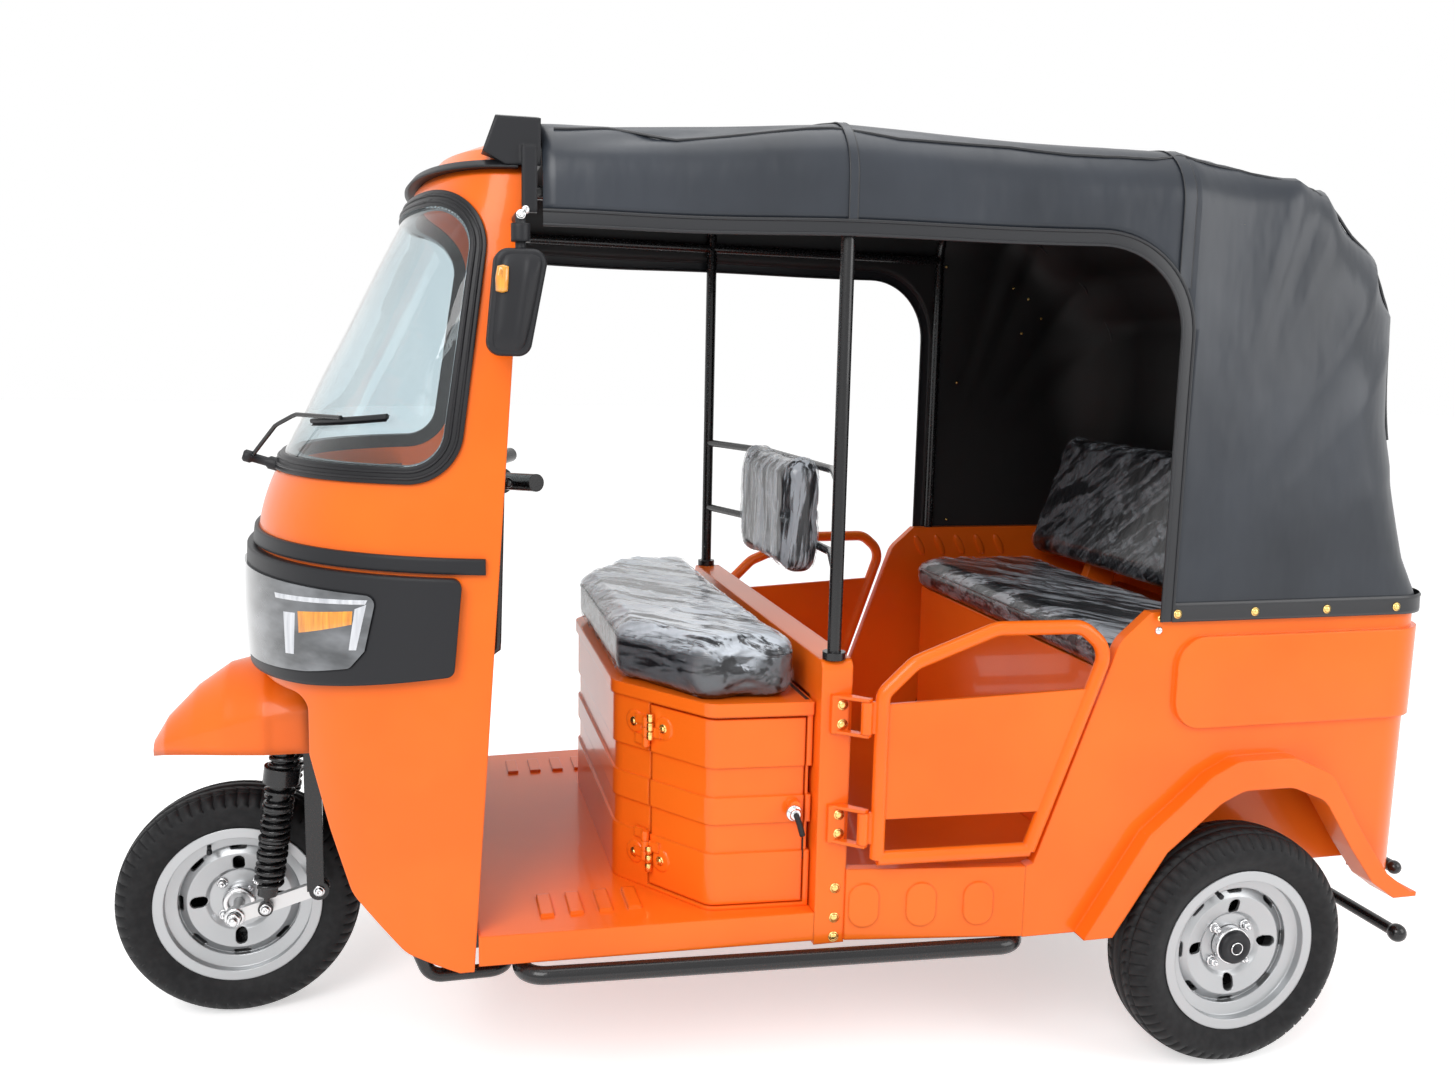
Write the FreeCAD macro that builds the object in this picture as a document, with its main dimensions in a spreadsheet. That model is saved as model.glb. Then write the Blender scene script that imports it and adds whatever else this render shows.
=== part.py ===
import FreeCAD, Part
import math
import os
import Sketcher
from FreeCAD import Placement, Rotation, Vector

# Auto rickshaw, in millimetres.
# +X is forward, +Y is the vehicle's left, +Z is up, and the origin lies on the ground
# under the middle of the overall length.

# Driving dimensions, all in millimetres.
LENGTHS = {
    # whole vehicle
    "overall_length": 2720, "wheel_base": 1969, "rear_track": 1234,
    "running_gap": 0.3, "overrun": 20,
    "side_reach": 800,
    # wheels
    "tyre_radius": 247, "tyre_width": 130, "tyre_bead_width": 104,
    "tread_flat": 15, "tread_half": 40, "tread_drop": 7,
    "shoulder_half": 56, "shoulder_drop": 21, "belly_drop": 42,
    "rim_flange_radius": 168, "rim_seat_radius": 154, "rim_well_radius": 130,
    "rim_width": 106, "rim_flange_width": 7, "rim_well_width": 44, "rim_skin": 7,
    "disc_radius": 104, "disc_face": 30, "disc_skin": 8, "hub_face_radius": 62,
    "hub_radius": 34, "hub_length": 96, "front_axle_radius": 10, "rear_axle_radius": 21,
    "rim_hole_circle": 82, "rim_hole_long": 34, "rim_hole_short": 24,
    "rim_slot_circle": 117, "rim_slot_long": 34, "rim_slot_short": 10,
    # steering
    "fork_set_back": 202, "crown_height": 640, "crown_thick": 34, "fork_half": 114,
    "fork_leg_width": 34, "fork_leg_thick": 14, "fork_leg_set_back": 161,
    "link_set_back": 168, "link_rise": 49, "link_height": 30, "link_thick": 14,
    "link_boss_radius": 20, "damper_set_back": 62,
    "damper_top_set_back": 109, "damper_radius": 20,
    "spring_radius": 31, "spring_wire": 5, "collar_radius": 36, "collar_height": 34,
    "damper_foot": 66, "damper_head": 70, "damper_half": 121, "damper_rod_radius": 6,
    "damper_rod_length": 30, "damper_eye_radius": 15, "damper_end_gap": 3.6,
    "head_tube_length": 150, "head_tube_radius": 27, "stem_radius": 16,
    "bar_centre_height": 1150, "bar_reach": 50, "bar_half": 327, "bar_knee_half": 110,
    "bar_sweep": 118, "bar_radius": 11, "grip_radius": 17, "grip_length": 118,
    "bar_end_rise": 14, "bar_bend": 60, "lever_length": 150, "lever_knob": 10, "lever_radius": 7,
    "lever_standoff": 46, "switch_length": 46, "switch_radius": 25,
    # mudguard
    "guard_tip_reach": 156, "guard_back": 160, "guard_wall": 6, "guard_half": 150,
    "guard_bottom": 600, "guard_crease": 692, "guard_ridge": 775, "guard_tip_height": 572,
    # cowl
    "cowl_bottom": 285, "cowl_top": 1723, "cowl_rear_low": 648, "cowl_rear_high": 548,
    "cowl_half_low": 518, "cowl_half_high": 460, "cowl_wall": 26,
    "nose_low": 1030, "nose_shin": 1050, "nose_brow": 1047, "nose_sill": 1014,
    "nose_top": 733, "shin_height": 790, "brow_height": 1035, "sill_height": 1165,
    "screen_top_height": 1712, "dome_mid_height": 1765, "dome_mid_nose": 690,
    "dome_mid_half": 400, "dome_high": 1806, "dome_nose": 600, "dome_half": 240,
    # windscreen
    "screen_low": 1206, "screen_high": 1664, "screen_rear_low": 698, "screen_rear_high": 630,
    "gasket_width": 30, "gasket_proud": 7, "glass_thick": 6, "screen_corner": 70,
    # visor lip
    "visor_height": 1722, "visor_thick": 14, "visor_reach": 26, "visor_rear": 560,
    # lamp bezel
    "bezel_rear": 662,
    "bezel_foot": 678, "bezel_top": 1012, "bezel_top_nose": 1028, "bezel_rear_low": 840,
    "bezel_nose_low": 792, "bezel_proud": 20, "bezel_corner": 16,
    "lamp_rear_high": 809, "lamp_rear_low": 858, "lamp_top": 981, "lamp_low": 850,
    "lamp_heel": 831, "lamp_heel_height": 883,
    "lamp_nose_low": 812, "lamp_inner_half": 46, "lamp_proud": 24, "lamp_depth": 12,
    "strip_low": 1018,
    "strip_nose_low": 1035, "strip_tall": 28, "strip_proud": 9, "strip_rear": 621,
    # wheel opening of the cowl
    "arch_front": 936, "arch_roof": 780, "arch_notch": 668, "arch_mid_x": 900,
    "arch_mid_z": 537, "arch_low_x": 862, "arch_low_z": 425, "arch_foot_x": 768,
    "arch_foot_z": 325, "arch_corner": 30,
    # bulkhead and dash
    "bulkhead_foot": 690, "bulkhead_mid": 722, "bulkhead_mid_height": 460,
    "bulkhead_top": 806, "bulkhead_top_height": 1000, "bulkhead_skin": 14,
    "dash_rear": 770, "dash_low": 1060, "dash_high": 1122, "dash_front": 985,
    "column_hole": 46, "dash_gap": 2,
    # roof cap over the cowl
    "cap_rear": 521, "cap_front": 580, "cap_toe": 620, "cap_low": 1727, "cap_toe_height": 1748,
    "cap_half": 470, "cap_end_height": 1806, "cap_crown_height": 1856, "cap_leg": 70,
    "cap_arch_end": 1748,
    "strap_rear": 528, "strap_width": 26, "strap_inner": 465,
    "strap_thick": 13, "strap_foot": 1648, "strap_top": 1760, "cap_arch_crown": 1842,
    # mirrors
    "mirror_x": 562, "mirror_half": 540, "mirror_top_rear": 515, "mirror_top_front": 605,
    "mirror_top": 1580, "mirror_low_rear": 549, "mirror_low_front": 622, "mirror_low": 1402,
    "mirror_inner": 512, "mirror_thick": 56, "mirror_corner": 24, "mirror_edge": 8,
    "mirror_arm_radius": 9, "mirror_arm_height": 1636, "mirror_foot_half": 440,
    "mirror_collar_radius": 16, "mirror_collar_low": 1592, "mirror_collar_tall": 30,
    # floor
    "floor_height": 352, "floor_skin": 14, "floor_front": 706, "floor_front_half": 426,
    "floor_step_x": 640, "floor_step_half": 456, "floor_side_half": 519,
    "floor_rear_half": 545, "floor_rear": 6.3, "floor_lip": 57, "floor_lip_thick": 12,
    "rib_length": 90, "rib_width": 26, "rib_height": 6, "rib_pitch": 56, "rib_first": 470,
    "rib_inset": 60,
    # partition between driver and passengers
    "wall_front": 6, "wall_rear": 55, "wall_half": 545, "wall_top": 850, "wall_low": 286.3,
    "wall_post": 62, "wall_beam": 84, "wall_recess": 24, "wall_corner": 18,
    # seat box
    "box_front": 357, "box_front_half": 290, "box_side_front": 206, "box_side_front_half": 498,
    "box_rear": 10, "box_rear_half": 512, "box_top": 764, "box_skin": 18,
    "box_front_corner": 60, "box_side_corner": 34, "box_door_top": 735, "box_door_low": 360,
    "box_door_gap": 4, "box_door_rear": 20, "box_hinge_x": 300, "box_hinge_half": 368,
    "box_hinge_radius": 8, "box_hinge_pin": 4, "box_hinge_length": 60, "box_hinge_low": 414,
    "box_hinge_high": 648, "box_hinge_standoff": 9,
    "box_hinge_leaf": 34, "box_hinge_plate": 6, "box_hinge_bite": 2, "belt_low": 466,
    "belt_pitch": 112,
    "belt_tall": 58, "belt_depth": 5, "lid_proud": 6, "lid_tall": 26, "lock_radius": 12,
    "lock_length": 14, "lock_height": 560, "lock_x": 44,
    "battery_length": 250, "battery_width": 620, "battery_height": 260, "battery_rear": 60,
    # driver's seat
    "seat_thick": 112, "seat_front": 372, "seat_rear": 26, "seat_front_half": 300,
    "seat_side_front": 225, "seat_half": 512,
    "seat_corner": 68, "seat_rear_corner": 51, "seat_edge": 27,
    "rest_half": 205, "rest_low": 940, "rest_high": 1205, "rest_thick": 70, "rest_round": 24,
    "rest_corner": 38,
    # canopy frame
    "post_x": 21, "post_half": 530, "post_radius": 13, "post_foot_radius": 22,
    "post_foot_height": 14, "rail_radius": 12, "rail_front": 504, "rail_front_half": 452,
    "rail_height": 1684, "hoop_rear_x": 690,
    "hood_post_foot": 936, "hoop_gap": 2, "rest_bar_radius": 9, "rest_bar_high": 1180,
    "rest_bar_low": 1008,
    "rest_bar_bow": 84, "rest_bar_knee": 250,
    # canopy
    "hood_front": 519.5, "hood_front_half": 478, "hood_post_half": 552, "hood_rear_half": 618,
    "hood_front_top": 1847, "hood_post_top": 1869, "hood_quarter_top": 1846,
    "hood_low": 917, "hood_skin": 8, "hood_shoulder": 110, "hood_valance": 1650,
    "hood_side_x": 677, "hood_side_corner": 190, "hood_crown": 34,
    "hood_back_top": 1889, "hood_corner": 200, "hood_ease": 0.5,
    # rear body
    "tub_front": 406, "tub_front_half": 604, "tub_half": 610, "tub_full_x": 700,
    "tub_rear": 1296, "tub_corner": 90, "tub_wall": 26, "tub_low": 290, "tub_top": 936,
    "tub_split": 470, "slant_low_x": 421, "slant_low_z": 441, "slant_high_x": 577,
    "slant_high_z": 880, "slant_top_x": 640, "slant_corner": 60,
    "wheel_cut_front": 566, "wheel_cut_rear": 1240, "wheel_cut_top": 573, "wheel_cut_low": 287,
    "flare_width": 62, "flare_proud": 34, "tail_low": 362,
    "swage_low": 700, "swage_high": 886, "swage_front": 700,
    "swage_depth": 10, "swage_corner": 60,
    # sills
    "sill_front": 55, "sill_front_half": 549, "sill_rear_half": 604, "sill_top": 436,
    "sill_low": 292, "sill_wall": 24, "oval_width": 58, "oval_tall": 88,
    "oval_proud": 4, "oval_pitch": 112, "oval_first": 90, "oval_height": 363, "oval_corner": 28,
    # rear floor and bench
    "rear_floor_rear": 656, "rear_floor_half": 524, "bench_front": 640, "bench_rear": 1260,
    "bench_half": 506, "bench_top": 780, "bench_low": 352, "bench_skin": 16,
    "bench_cushion_front": 602, "bench_cushion_rear": 990, "bench_cushion_half": 520,
    "bench_cushion_thick": 78, "bench_cushion_round": 26,
    "bench_back_foot": 1036, "bench_back_lean": 132, "bench_back_low": 846,
    "bench_back_high": 1215,
    "bench_back_half": 540, "bench_corner": 39, "bench_back_thick": 82,
    "bench_bracket_top": 1100, "bench_bracket_foot": 90, "bench_bracket_head": 36,
    "bench_bracket_half": 300, "bench_bracket_width": 30,
    # doors
    "door_axis_x": 72, "door_axis_half": 582, "door_rear_half": 609, "door_length": 500,
    "door_tube_radius": 14, "door_bottom": 470, "door_bend": 62,
    "door_front_bend": 31, "door_rear_bend": 50, "door_start": 30,
    "door_front_top": 792, "door_front_slope": 850, "door_mid_reach": 250,
    "door_mid_top": 912, "door_top_reach": 424, "door_rear_reach": 478,
    "door_rear_drop": 866, "door_foot_reach": 338, "door_panel_top": 772,
    "door_panel_top_rear": 790, "door_panel_low": 548, "door_panel_thick": 10,
    "knuckle_radius": 11, "knuckle_height": 62, "knuckle_low": 500, "knuckle_high": 716,
    "pin_radius": 5, "ear_thick": 6, "ear_plate": 8, "ear_reach": 34,
    # chassis
    "rail_half": 300, "rail_width": 50, "rail_low": 236, "rail_tall": 50, "rail_nose": 760,
    "rail_kick": 656.3, "rail_kick_low": 420, "rail_end": 1258, "cross_width": 40,
    "neck_width": 54, "side_tube_half": 450, "side_tube_radius": 13,
    "side_tube_front": 762, "side_tube_height": 251, "side_tube_top": 343, "side_tube_rear": 585,
    "side_tube_knee": 727, "side_tube_bend": 34, "neck_top_rise": 82,
    # steps and bumper
    "step_front": 560, "step_front_half": 530, "step_rear": 409, "step_rear_half": 600,
    "step_height": 272, "step_radius": 17, "step_bend": 46,
    "bumper_x": 1340, "bumper_height": 186, "bumper_half": 560, "bumper_radius": 13,
    "bumper_ball": 20, "bumper_bracket_width": 34,
    "bumper_bracket_thick": 8, "bumper_high_x": 1314, "bumper_high": 340,
    "bumper_high_half": 560, "bumper_high_ball": 15, "bumper_plate_x": 1226,
    "bumper_bend_height": 292,
    # tail
    "tail_lamp_half": 400, "tail_lamp_height": 640, "tail_lamp_width": 70,
    "tail_lamp_tall": 210, "tail_lamp_thick": 30,
    # rear axle
    "axle_tube_radius": 30, "axle_tube_half": 520,
    "case_radius": 108, "case_width": 150, "case_half": 60, "motor_length": 240,
    "motor_radius": 84, "rear_damper_half": 400,
}

# Angles in degrees.
ANGLES = {"steer_rake": 24}

# Plan curve of the cowl: how full the nose is.
COWL_FULLNESS_SHARE = 2.3

# Points along each half of that curve, and how they crowd towards its ends.
COWL_STEPS = 8
COWL_CROWDING_SHARE = 1.5

# Bands of the cowl between its foot and the top of its windscreen.
COWL_BANDS = 14


class Measure:
    """A length that carries both its value and the sheet expression that gives it."""

    def __init__(self, value, text):
        self.value = float(value)
        self.text = text

    def __float__(self):
        return self.value

    def __neg__(self):
        return Measure(-self.value, "(-" + self.text + ")")

    def __add__(self, other):
        other = as_measure(other)
        return Measure(self.value + other.value, "(" + self.text + " + " + other.text + ")")

    def __sub__(self, other):
        other = as_measure(other)
        return Measure(self.value - other.value, "(" + self.text + " - " + other.text + ")")

    def __mul__(self, factor):
        return Measure(self.value * factor, "(" + self.text + " * " + repr(float(factor)) + ")")

    def __truediv__(self, factor):
        return self * (1 / factor)

    __rmul__ = __mul__


def as_measure(value):
    if isinstance(value, Measure):
        return value
    return Measure(value, repr(float(value)))


class Sizes:
    """Gives each alias of the sheet as a Measure."""

    def __init__(self, sheet):
        self._sheet = sheet

    def __getattr__(self, alias):
        return Measure(getattr(self._sheet, alias), self._sheet.Name + "." + alias)


document = FreeCAD.newDocument("AutoRickshaw")


def make_sheet():
    """Write every driving dimension into a sheet cell with an alias."""
    sheet = document.addObject("Spreadsheet::Sheet", "Sizes")
    for row, (alias, value) in enumerate({**LENGTHS, **ANGLES}.items(), start=1):
        sheet.set("A" + str(row), alias)
        sheet.set("B" + str(row), str(value))
        sheet.setAlias("B" + str(row), alias)
    document.recompute()
    return sheet


size = Sizes(make_sheet())
ZERO = Measure(0, "0")
FRONT_AXLE_X = size.overall_length / 2 - size.tyre_radius
REAR_AXLE_X = FRONT_AXLE_X - size.wheel_base
NODES = []

# Turns that lay a sketch on each plane, with the way its prism grows.
PLANES = {
    "XY": (Rotation(), Vector(0, 0, 1), "z"),
    "XZ": (Rotation(Vector(1, 0, 0), 90), Vector(0, 1, 0), "y"),
    "YZ": (Rotation(Vector(1, 1, 1), 120), Vector(1, 0, 0), "x"),
}
X_AXIS = Vector(1, 0, 0)
Y_AXIS = Vector(0, 1, 0)
Z_AXIS = Vector(0, 0, 1)


def point(x, y, z):
    return Vector(float(x), float(y), float(z))


def bind(thing, measures):
    """Tie properties of an object to sheet expressions."""
    for name, measure in measures.items():
        thing.setExpression(name, as_measure(measure).text)


def put(thing, x=ZERO, y=ZERO, z=ZERO, turn=None):
    """Place an object at a point in named sizes."""
    thing.Placement = Placement(point(x, y, z), turn or Rotation())
    bind(thing, {"Placement.Base.x": x, "Placement.Base.y": y, "Placement.Base.z": z})
    return thing


def keep(thing, label):
    """Name a finished sub-part, which is written to its own file."""
    thing.Label = label
    NODES.append(thing)
    return thing


# Sketches


def corner_cut(before, corner, after, radius):
    """Return the two tangent points and the centre of a rounded corner."""
    to_before = (before - corner).normalize()
    to_after = (after - corner).normalize()
    half_turn = to_before.getAngle(to_after) / 2
    reach = radius / math.tan(half_turn)
    middle = (to_before + to_after).normalize() * (radius / math.sin(half_turn))
    return corner + to_before * reach, corner + to_after * reach, corner + middle


def draw_outline(sketch, corners, radii=None, closed=True):
    """Draw straight runs through corners in named sizes, rounded where a radius is given."""
    count = len(corners)
    radii = radii or {}
    spots = [Vector(float(x), float(y), 0) for x, y in corners]
    starts = list(spots)
    ends = list(spots)
    arcs = {}
    for index, radius in radii.items():
        before, after = spots[index - 1], spots[(index + 1) % count]
        ends[index], starts[index], centre = corner_cut(
            before, spots[index], after, float(radius))
        arcs[index] = centre
    runs = count if closed else count - 1
    for index in range(runs):
        following = (index + 1) % count
        sketch.addGeometry(Part.LineSegment(starts[index], ends[following]), False)
    for index in range(count):
        if index in arcs:
            add_corner_arc(sketch, index, runs, spots[index], ends[index], starts[index],
                           arcs[index], corners[index], radii[index], count)
        else:
            fix_sharp_corner(sketch, index, runs, count, corners[index], spots[index], closed)


def fix_sharp_corner(sketch, index, runs, count, corner, spot, closed):
    """Join two runs at a corner and hold the corner at its named place."""
    if index < runs:
        line, end = index, 1
    else:
        line, end = index - 1, 2
    if index < runs and (closed or index > 0):
        sketch.addConstraint(Sketcher.Constraint("Coincident", (index - 1) % count, 2, index, 1))
    hold_point(sketch, line, end, corner, spot)


def hold_point(sketch, geometry, end, corner, spot):
    first = sketch.addConstraint(Sketcher.Constraint(
        "DistanceX", -1, 1, geometry, end, spot.x))
    second = sketch.addConstraint(Sketcher.Constraint(
        "DistanceY", -1, 1, geometry, end, spot.y))
    bind(sketch, {"Constraints[" + str(first) + "]": corner[0],
                  "Constraints[" + str(second) + "]": corner[1]})


def add_corner_arc(sketch, index, runs, spot, enters, leaves, centre, corner, radius, count):
    """Round a corner by an arc tangent to both runs, with the sharp corner held in place."""
    first = math.atan2(enters.y - centre.y, enters.x - centre.x)
    last = math.atan2(leaves.y - centre.y, leaves.x - centre.x)
    turns_left = (enters - centre).cross(leaves - centre).z > 0
    circle = Part.Circle(centre, Z_AXIS, float(radius))
    if turns_left:
        arc = sketch.addGeometry(Part.ArcOfCircle(circle, first, last), False)
        enter_end, leave_end = 1, 2
    else:
        arc = sketch.addGeometry(Part.ArcOfCircle(circle, last, first), False)
        enter_end, leave_end = 2, 1
    mark = sketch.addGeometry(Part.Point(spot), True)
    before = (index - 1) % count
    sketch.addConstraint(Sketcher.Constraint("PointOnObject", mark, 1, before))
    sketch.addConstraint(Sketcher.Constraint("PointOnObject", mark, 1, index))
    sketch.addConstraint(Sketcher.Constraint("Tangent", before, 2, arc, enter_end))
    sketch.addConstraint(Sketcher.Constraint("Tangent", arc, leave_end, index, 1))
    bend = sketch.addConstraint(Sketcher.Constraint("Radius", arc, float(radius)))
    bind(sketch, {"Constraints[" + str(bend) + "]": radius})
    hold_point(sketch, mark, 1, corner, spot)


def draw_circle(sketch, x, y, radius):
    """Draw a circle held by its centre and radius in named sizes."""
    centre = Vector(float(x), float(y), 0)
    ring = sketch.addGeometry(Part.Circle(centre, Z_AXIS, float(radius)), False)
    span = sketch.addConstraint(Sketcher.Constraint("Radius", ring, float(radius)))
    bind(sketch, {"Constraints[" + str(span) + "]": radius})
    hold_point(sketch, ring, 3, (x, y), centre)


def mirrored(corners):
    """Close a half outline by its mirror image across the first coordinate's axis."""
    return corners + [(x, -y) for x, y in reversed(corners)]


def slab(name, plane, corners, start, depth, radii=None):
    """Extrude an outline from a start height along the plane's positive axis."""
    turn, way, axis = PLANES[plane]
    sketch = document.addObject("Sketcher::SketchObject", name + "_outline")
    draw_outline(sketch, corners, radii)
    sketch.Placement = Placement(way * float(start), turn)
    bind(sketch, {"Placement.Base." + axis: start})
    prism = document.addObject("Part::Extrusion", name)
    prism.Base = sketch
    prism.DirMode = "Custom"
    prism.Dir = way
    prism.Solid = True
    prism.LengthFwd = float(depth)
    bind(prism, {"LengthFwd": depth})
    return prism


def block(name, x_low, y_low, z_low, length, width, height):
    """A box from its low corner."""
    box = document.addObject("Part::Box", name)
    bind(box, {"Length": length, "Width": width, "Height": height})
    return put(box, x_low, y_low, z_low)


AXIS_TURNS = {
    "x": Rotation(Y_AXIS, 90),
    "y": Rotation(X_AXIS, -90),
    "z": Rotation(),
}


def rod(name, axis, x, y, z, radius, length):
    """A cylinder that starts at a point and runs along a positive axis."""
    cylinder = document.addObject("Part::Cylinder", name)
    bind(cylinder, {"Radius": radius, "Height": length})
    return put(cylinder, x, y, z, AXIS_TURNS[axis])


def combine(kind, name, pieces):
    """Fuse or intersect several objects."""
    result = document.addObject(kind, name)
    result.Shapes = pieces
    return result


def fuse(name, pieces):
    return combine("Part::MultiFuse", name, pieces)


def common(name, pieces):
    return combine("Part::MultiCommon", name, pieces)


def group(name, pieces):
    """Hold separate solids of one sub-part together."""
    result = document.addObject("Part::Compound", name)
    result.Links = pieces
    return result


def cut(name, base, tool):
    result = document.addObject("Part::Cut", name)
    result.Base = base
    result.Tool = tool
    return result


def mirror(name, source, normal=Y_AXIS):
    """A mirrored copy across a plane through the origin."""
    result = document.addObject("Part::Mirroring", name)
    result.Source = source
    result.Normal = normal
    return result


def freeform(name, shape):
    """Hold a shape that neither a sketch nor a primitive can give."""
    feature = document.addObject("Part::Feature", name)
    feature.Shape = shape
    feature.Placement = Placement()
    return feature


# Bodies


def new_body(label):
    body = document.addObject("PartDesign::Body", label)
    body.Label = label
    return body


def body_sketch(body, name, plane, start=ZERO):
    """A sketch on one of the body's own origin planes, moved along its normal."""
    role = plane + "_Plane"
    face = next(item for item in body.Origin.OriginFeatures if item.Role == role)
    sketch = body.newObject("Sketcher::SketchObject", name)
    sketch.AttachmentSupport = [(face, "")]
    sketch.MapMode = "FlatFace"
    along = -start if plane == "XZ" else start
    bind(sketch, {"AttachmentOffset.Base.z": along})
    return sketch


def pad(body, sketch, depth, symmetric=False):
    feature = body.newObject("PartDesign::Pad", sketch.Name + "_pad")
    feature.Profile = sketch
    feature.Midplane = symmetric
    bind(feature, {"Length": depth})
    return feature


def pocket(body, sketch, depth, symmetric=False, reverse=False):
    feature = body.newObject("PartDesign::Pocket", sketch.Name + "_pocket")
    feature.Profile = sketch
    feature.Midplane = symmetric
    feature.Reversed = reverse
    bind(feature, {"Length": depth})
    return feature


def round_edges(body, base, edges, radius):
    """Fillet the edges of a feature that a test picks."""
    document.recompute()
    names = ["Edge" + str(index) for index, edge in enumerate(base.Shape.Edges, start=1)
             if edges(edge)]
    feature = body.newObject("PartDesign::Fillet", base.Name + "_round")
    feature.Base = (base, names)
    bind(feature, {"Radius": radius})
    return feature


def pipe_body(label, plane, start, corners, radii, radius):
    """A bent tube whose centre line is a planar outline."""
    body = new_body(label)
    path = body_sketch(body, label + "_path", plane, start)
    draw_outline(path, corners, radii, closed=False)
    document.recompute()
    ring = body.newObject("Sketcher::SketchObject", label + "_ring")
    ring.AttachmentSupport = [(path, "Edge1")]
    ring.MapMode = "NormalToEdge"
    draw_circle(ring, ZERO, ZERO, radius)
    sweep = body.newObject("PartDesign::AdditivePipe", label + "_tube")
    sweep.Profile = ring
    sweep.Spine = (path, ["Edge" + str(i + 1) for i in range(len(path.Shape.Edges))])
    return body


# Tubes and lofts that no flat sketch can give


def path_wire(points, bend):
    """Straight runs joined by tangent arcs of one radius."""
    edges = []
    start = points[0]
    for index in range(1, len(points) - 1):
        enters, leaves, centre = corner_cut(
            points[index - 1], points[index], points[index + 1], bend)
        middle = centre + (points[index] - centre).normalize() * bend
        edges.append(Part.LineSegment(start, enters).toShape())
        edges.append(Part.Arc(enters, middle, leaves).toShape())
        start = leaves
    edges.append(Part.LineSegment(start, points[-1]).toShape())
    return Part.Wire(edges)


def tube_shape(points, bend, radius):
    """A solid round tube along a bent path."""
    wire = path_wire(points, float(bend))
    way = points[1] - points[0]
    ring = Part.Wire([Part.Circle(points[0], way, float(radius)).toShape()])
    return wire.makePipeShell([ring], True, False)


def rod_shape(start, end, radius):
    way = end - start
    return Part.makeCylinder(float(radius), way.Length, start, way)


def shares_between(low, high, share):
    return float(low) + (float(high) - float(low)) * share


# Wheels


def tyre(label, x, y, z):
    """A tubeless tyre turned about its axle: crowned tread, shoulders, walls and beads."""
    body = new_body(label)
    profile = body_sketch(body, label + "_profile", "YZ")
    bead = size.tyre_bead_width / 2 - size.rim_flange_width
    side = [
        (bead, size.rim_seat_radius),
        (bead, size.rim_flange_radius),
        (size.tyre_width / 2, size.tyre_radius - size.belly_drop),
        (size.shoulder_half, size.tyre_radius - size.shoulder_drop),
        (size.tread_half, size.tyre_radius - size.tread_drop),
        (size.tread_flat, size.tyre_radius),
    ]
    draw_outline(profile, side + [(-a, b) for a, b in reversed(side)])
    spin = body.newObject("PartDesign::Revolution", label + "_turned")
    spin.Profile = profile
    spin.ReferenceAxis = (profile, ["H_Axis"])
    keep(put(body, x, y, z), label)


def rim(label, x, y, z, side, axle_radius):
    """A pressed steel wheel: barrel with its well, dished disc, hub, and pierced holes."""
    body = new_body(label)
    profile = body_sketch(body, label + "_profile", "YZ")
    half = size.rim_width / 2
    lip = half - size.rim_flange_width
    well = size.rim_well_width / 2
    skin = size.rim_skin
    outer = [
        (half, size.rim_flange_radius),
        (lip, size.rim_flange_radius),
        (lip, size.rim_seat_radius),
        (well + skin, size.rim_seat_radius),
        (well, size.rim_well_radius),
    ]
    inner = [
        (half, size.rim_seat_radius - skin),
        (well + skin * 2, size.rim_seat_radius - skin),
        (well + skin, size.rim_well_radius - skin),
    ]
    outline = outer + [(-a, b) for a, b in reversed(outer)]
    outline += [(-a, b) for a, b in inner] + [(a, b) for a, b in reversed(inner)]
    draw_outline(profile, outline)
    barrel = body.newObject("PartDesign::Revolution", label + "_barrel")
    barrel.Profile = profile
    barrel.ReferenceAxis = (profile, ["H_Axis"])
    disc = body_sketch(body, label + "_disc_profile", "YZ")
    face = size.disc_face
    bore = axle_radius + size.running_gap
    edge = size.rim_well_radius - skin / 2
    front = [
        (face - size.disc_skin * 2, edge),
        (face, size.disc_radius),
        (face - size.disc_skin, size.hub_face_radius + size.disc_skin),
        (face - size.disc_skin * 2, size.hub_face_radius),
        (face - size.disc_skin * 2, size.hub_radius),
        (face + size.disc_skin, size.hub_radius - size.disc_skin),
        (face + size.disc_skin, bore),
    ]
    back = [
        (face - size.hub_length, bore),
        (face - size.hub_length, size.hub_radius),
        (face - size.disc_skin * 3, size.hub_radius),
        (face - size.disc_skin * 3, size.hub_face_radius),
        (face - size.disc_skin * 2, size.hub_face_radius + size.disc_skin),
        (face - size.disc_skin, size.disc_radius - size.disc_skin),
        (face - size.disc_skin * 3, edge),
    ]
    draw_outline(disc, [(a * side, b) for a, b in front + back])
    turned = body.newObject("PartDesign::Revolution", label + "_disc")
    turned.Profile = disc
    turned.ReferenceAxis = (disc, ["H_Axis"])
    pierce(body, label, "hole", size.rim_hole_circle, size.rim_hole_short,
           size.rim_hole_long, 4)
    pierce(body, label, "slot", size.rim_slot_circle, size.rim_slot_long,
           size.rim_slot_short, 8)
    keep(put(body, x, y, z), label)


# Corner radius of a pierced hole as a share of its narrower side.
SLOT_ROUND_SHARE = 0.49


def pierce(body, label, name, circle, across, tall, count):
    """Cut one rounded hole through the disc and repeat it round the axle."""
    sketch = body_sketch(body, label + "_" + name, "XZ")
    half = across / 2
    top = circle + tall / 2
    low = circle - tall / 2
    corners = [(-half, low), (half, low), (half, top), (-half, top)]
    bend = (across if float(across) < float(tall) else tall) * SLOT_ROUND_SHARE
    draw_outline(sketch, corners, {0: bend, 1: bend, 2: bend, 3: bend})
    opening = pocket(body, sketch, size.rim_width * 2, symmetric=True)
    pattern = body.newObject("PartDesign::PolarPattern", label + "_" + name + "s")
    pattern.Originals = [opening]
    axis = next(item for item in body.Origin.OriginFeatures if item.Role == "Y_Axis")
    pattern.Axis = (axis, [""])
    pattern.Angle = 360
    pattern.Occurrences = count
    body.Tip = pattern


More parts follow.
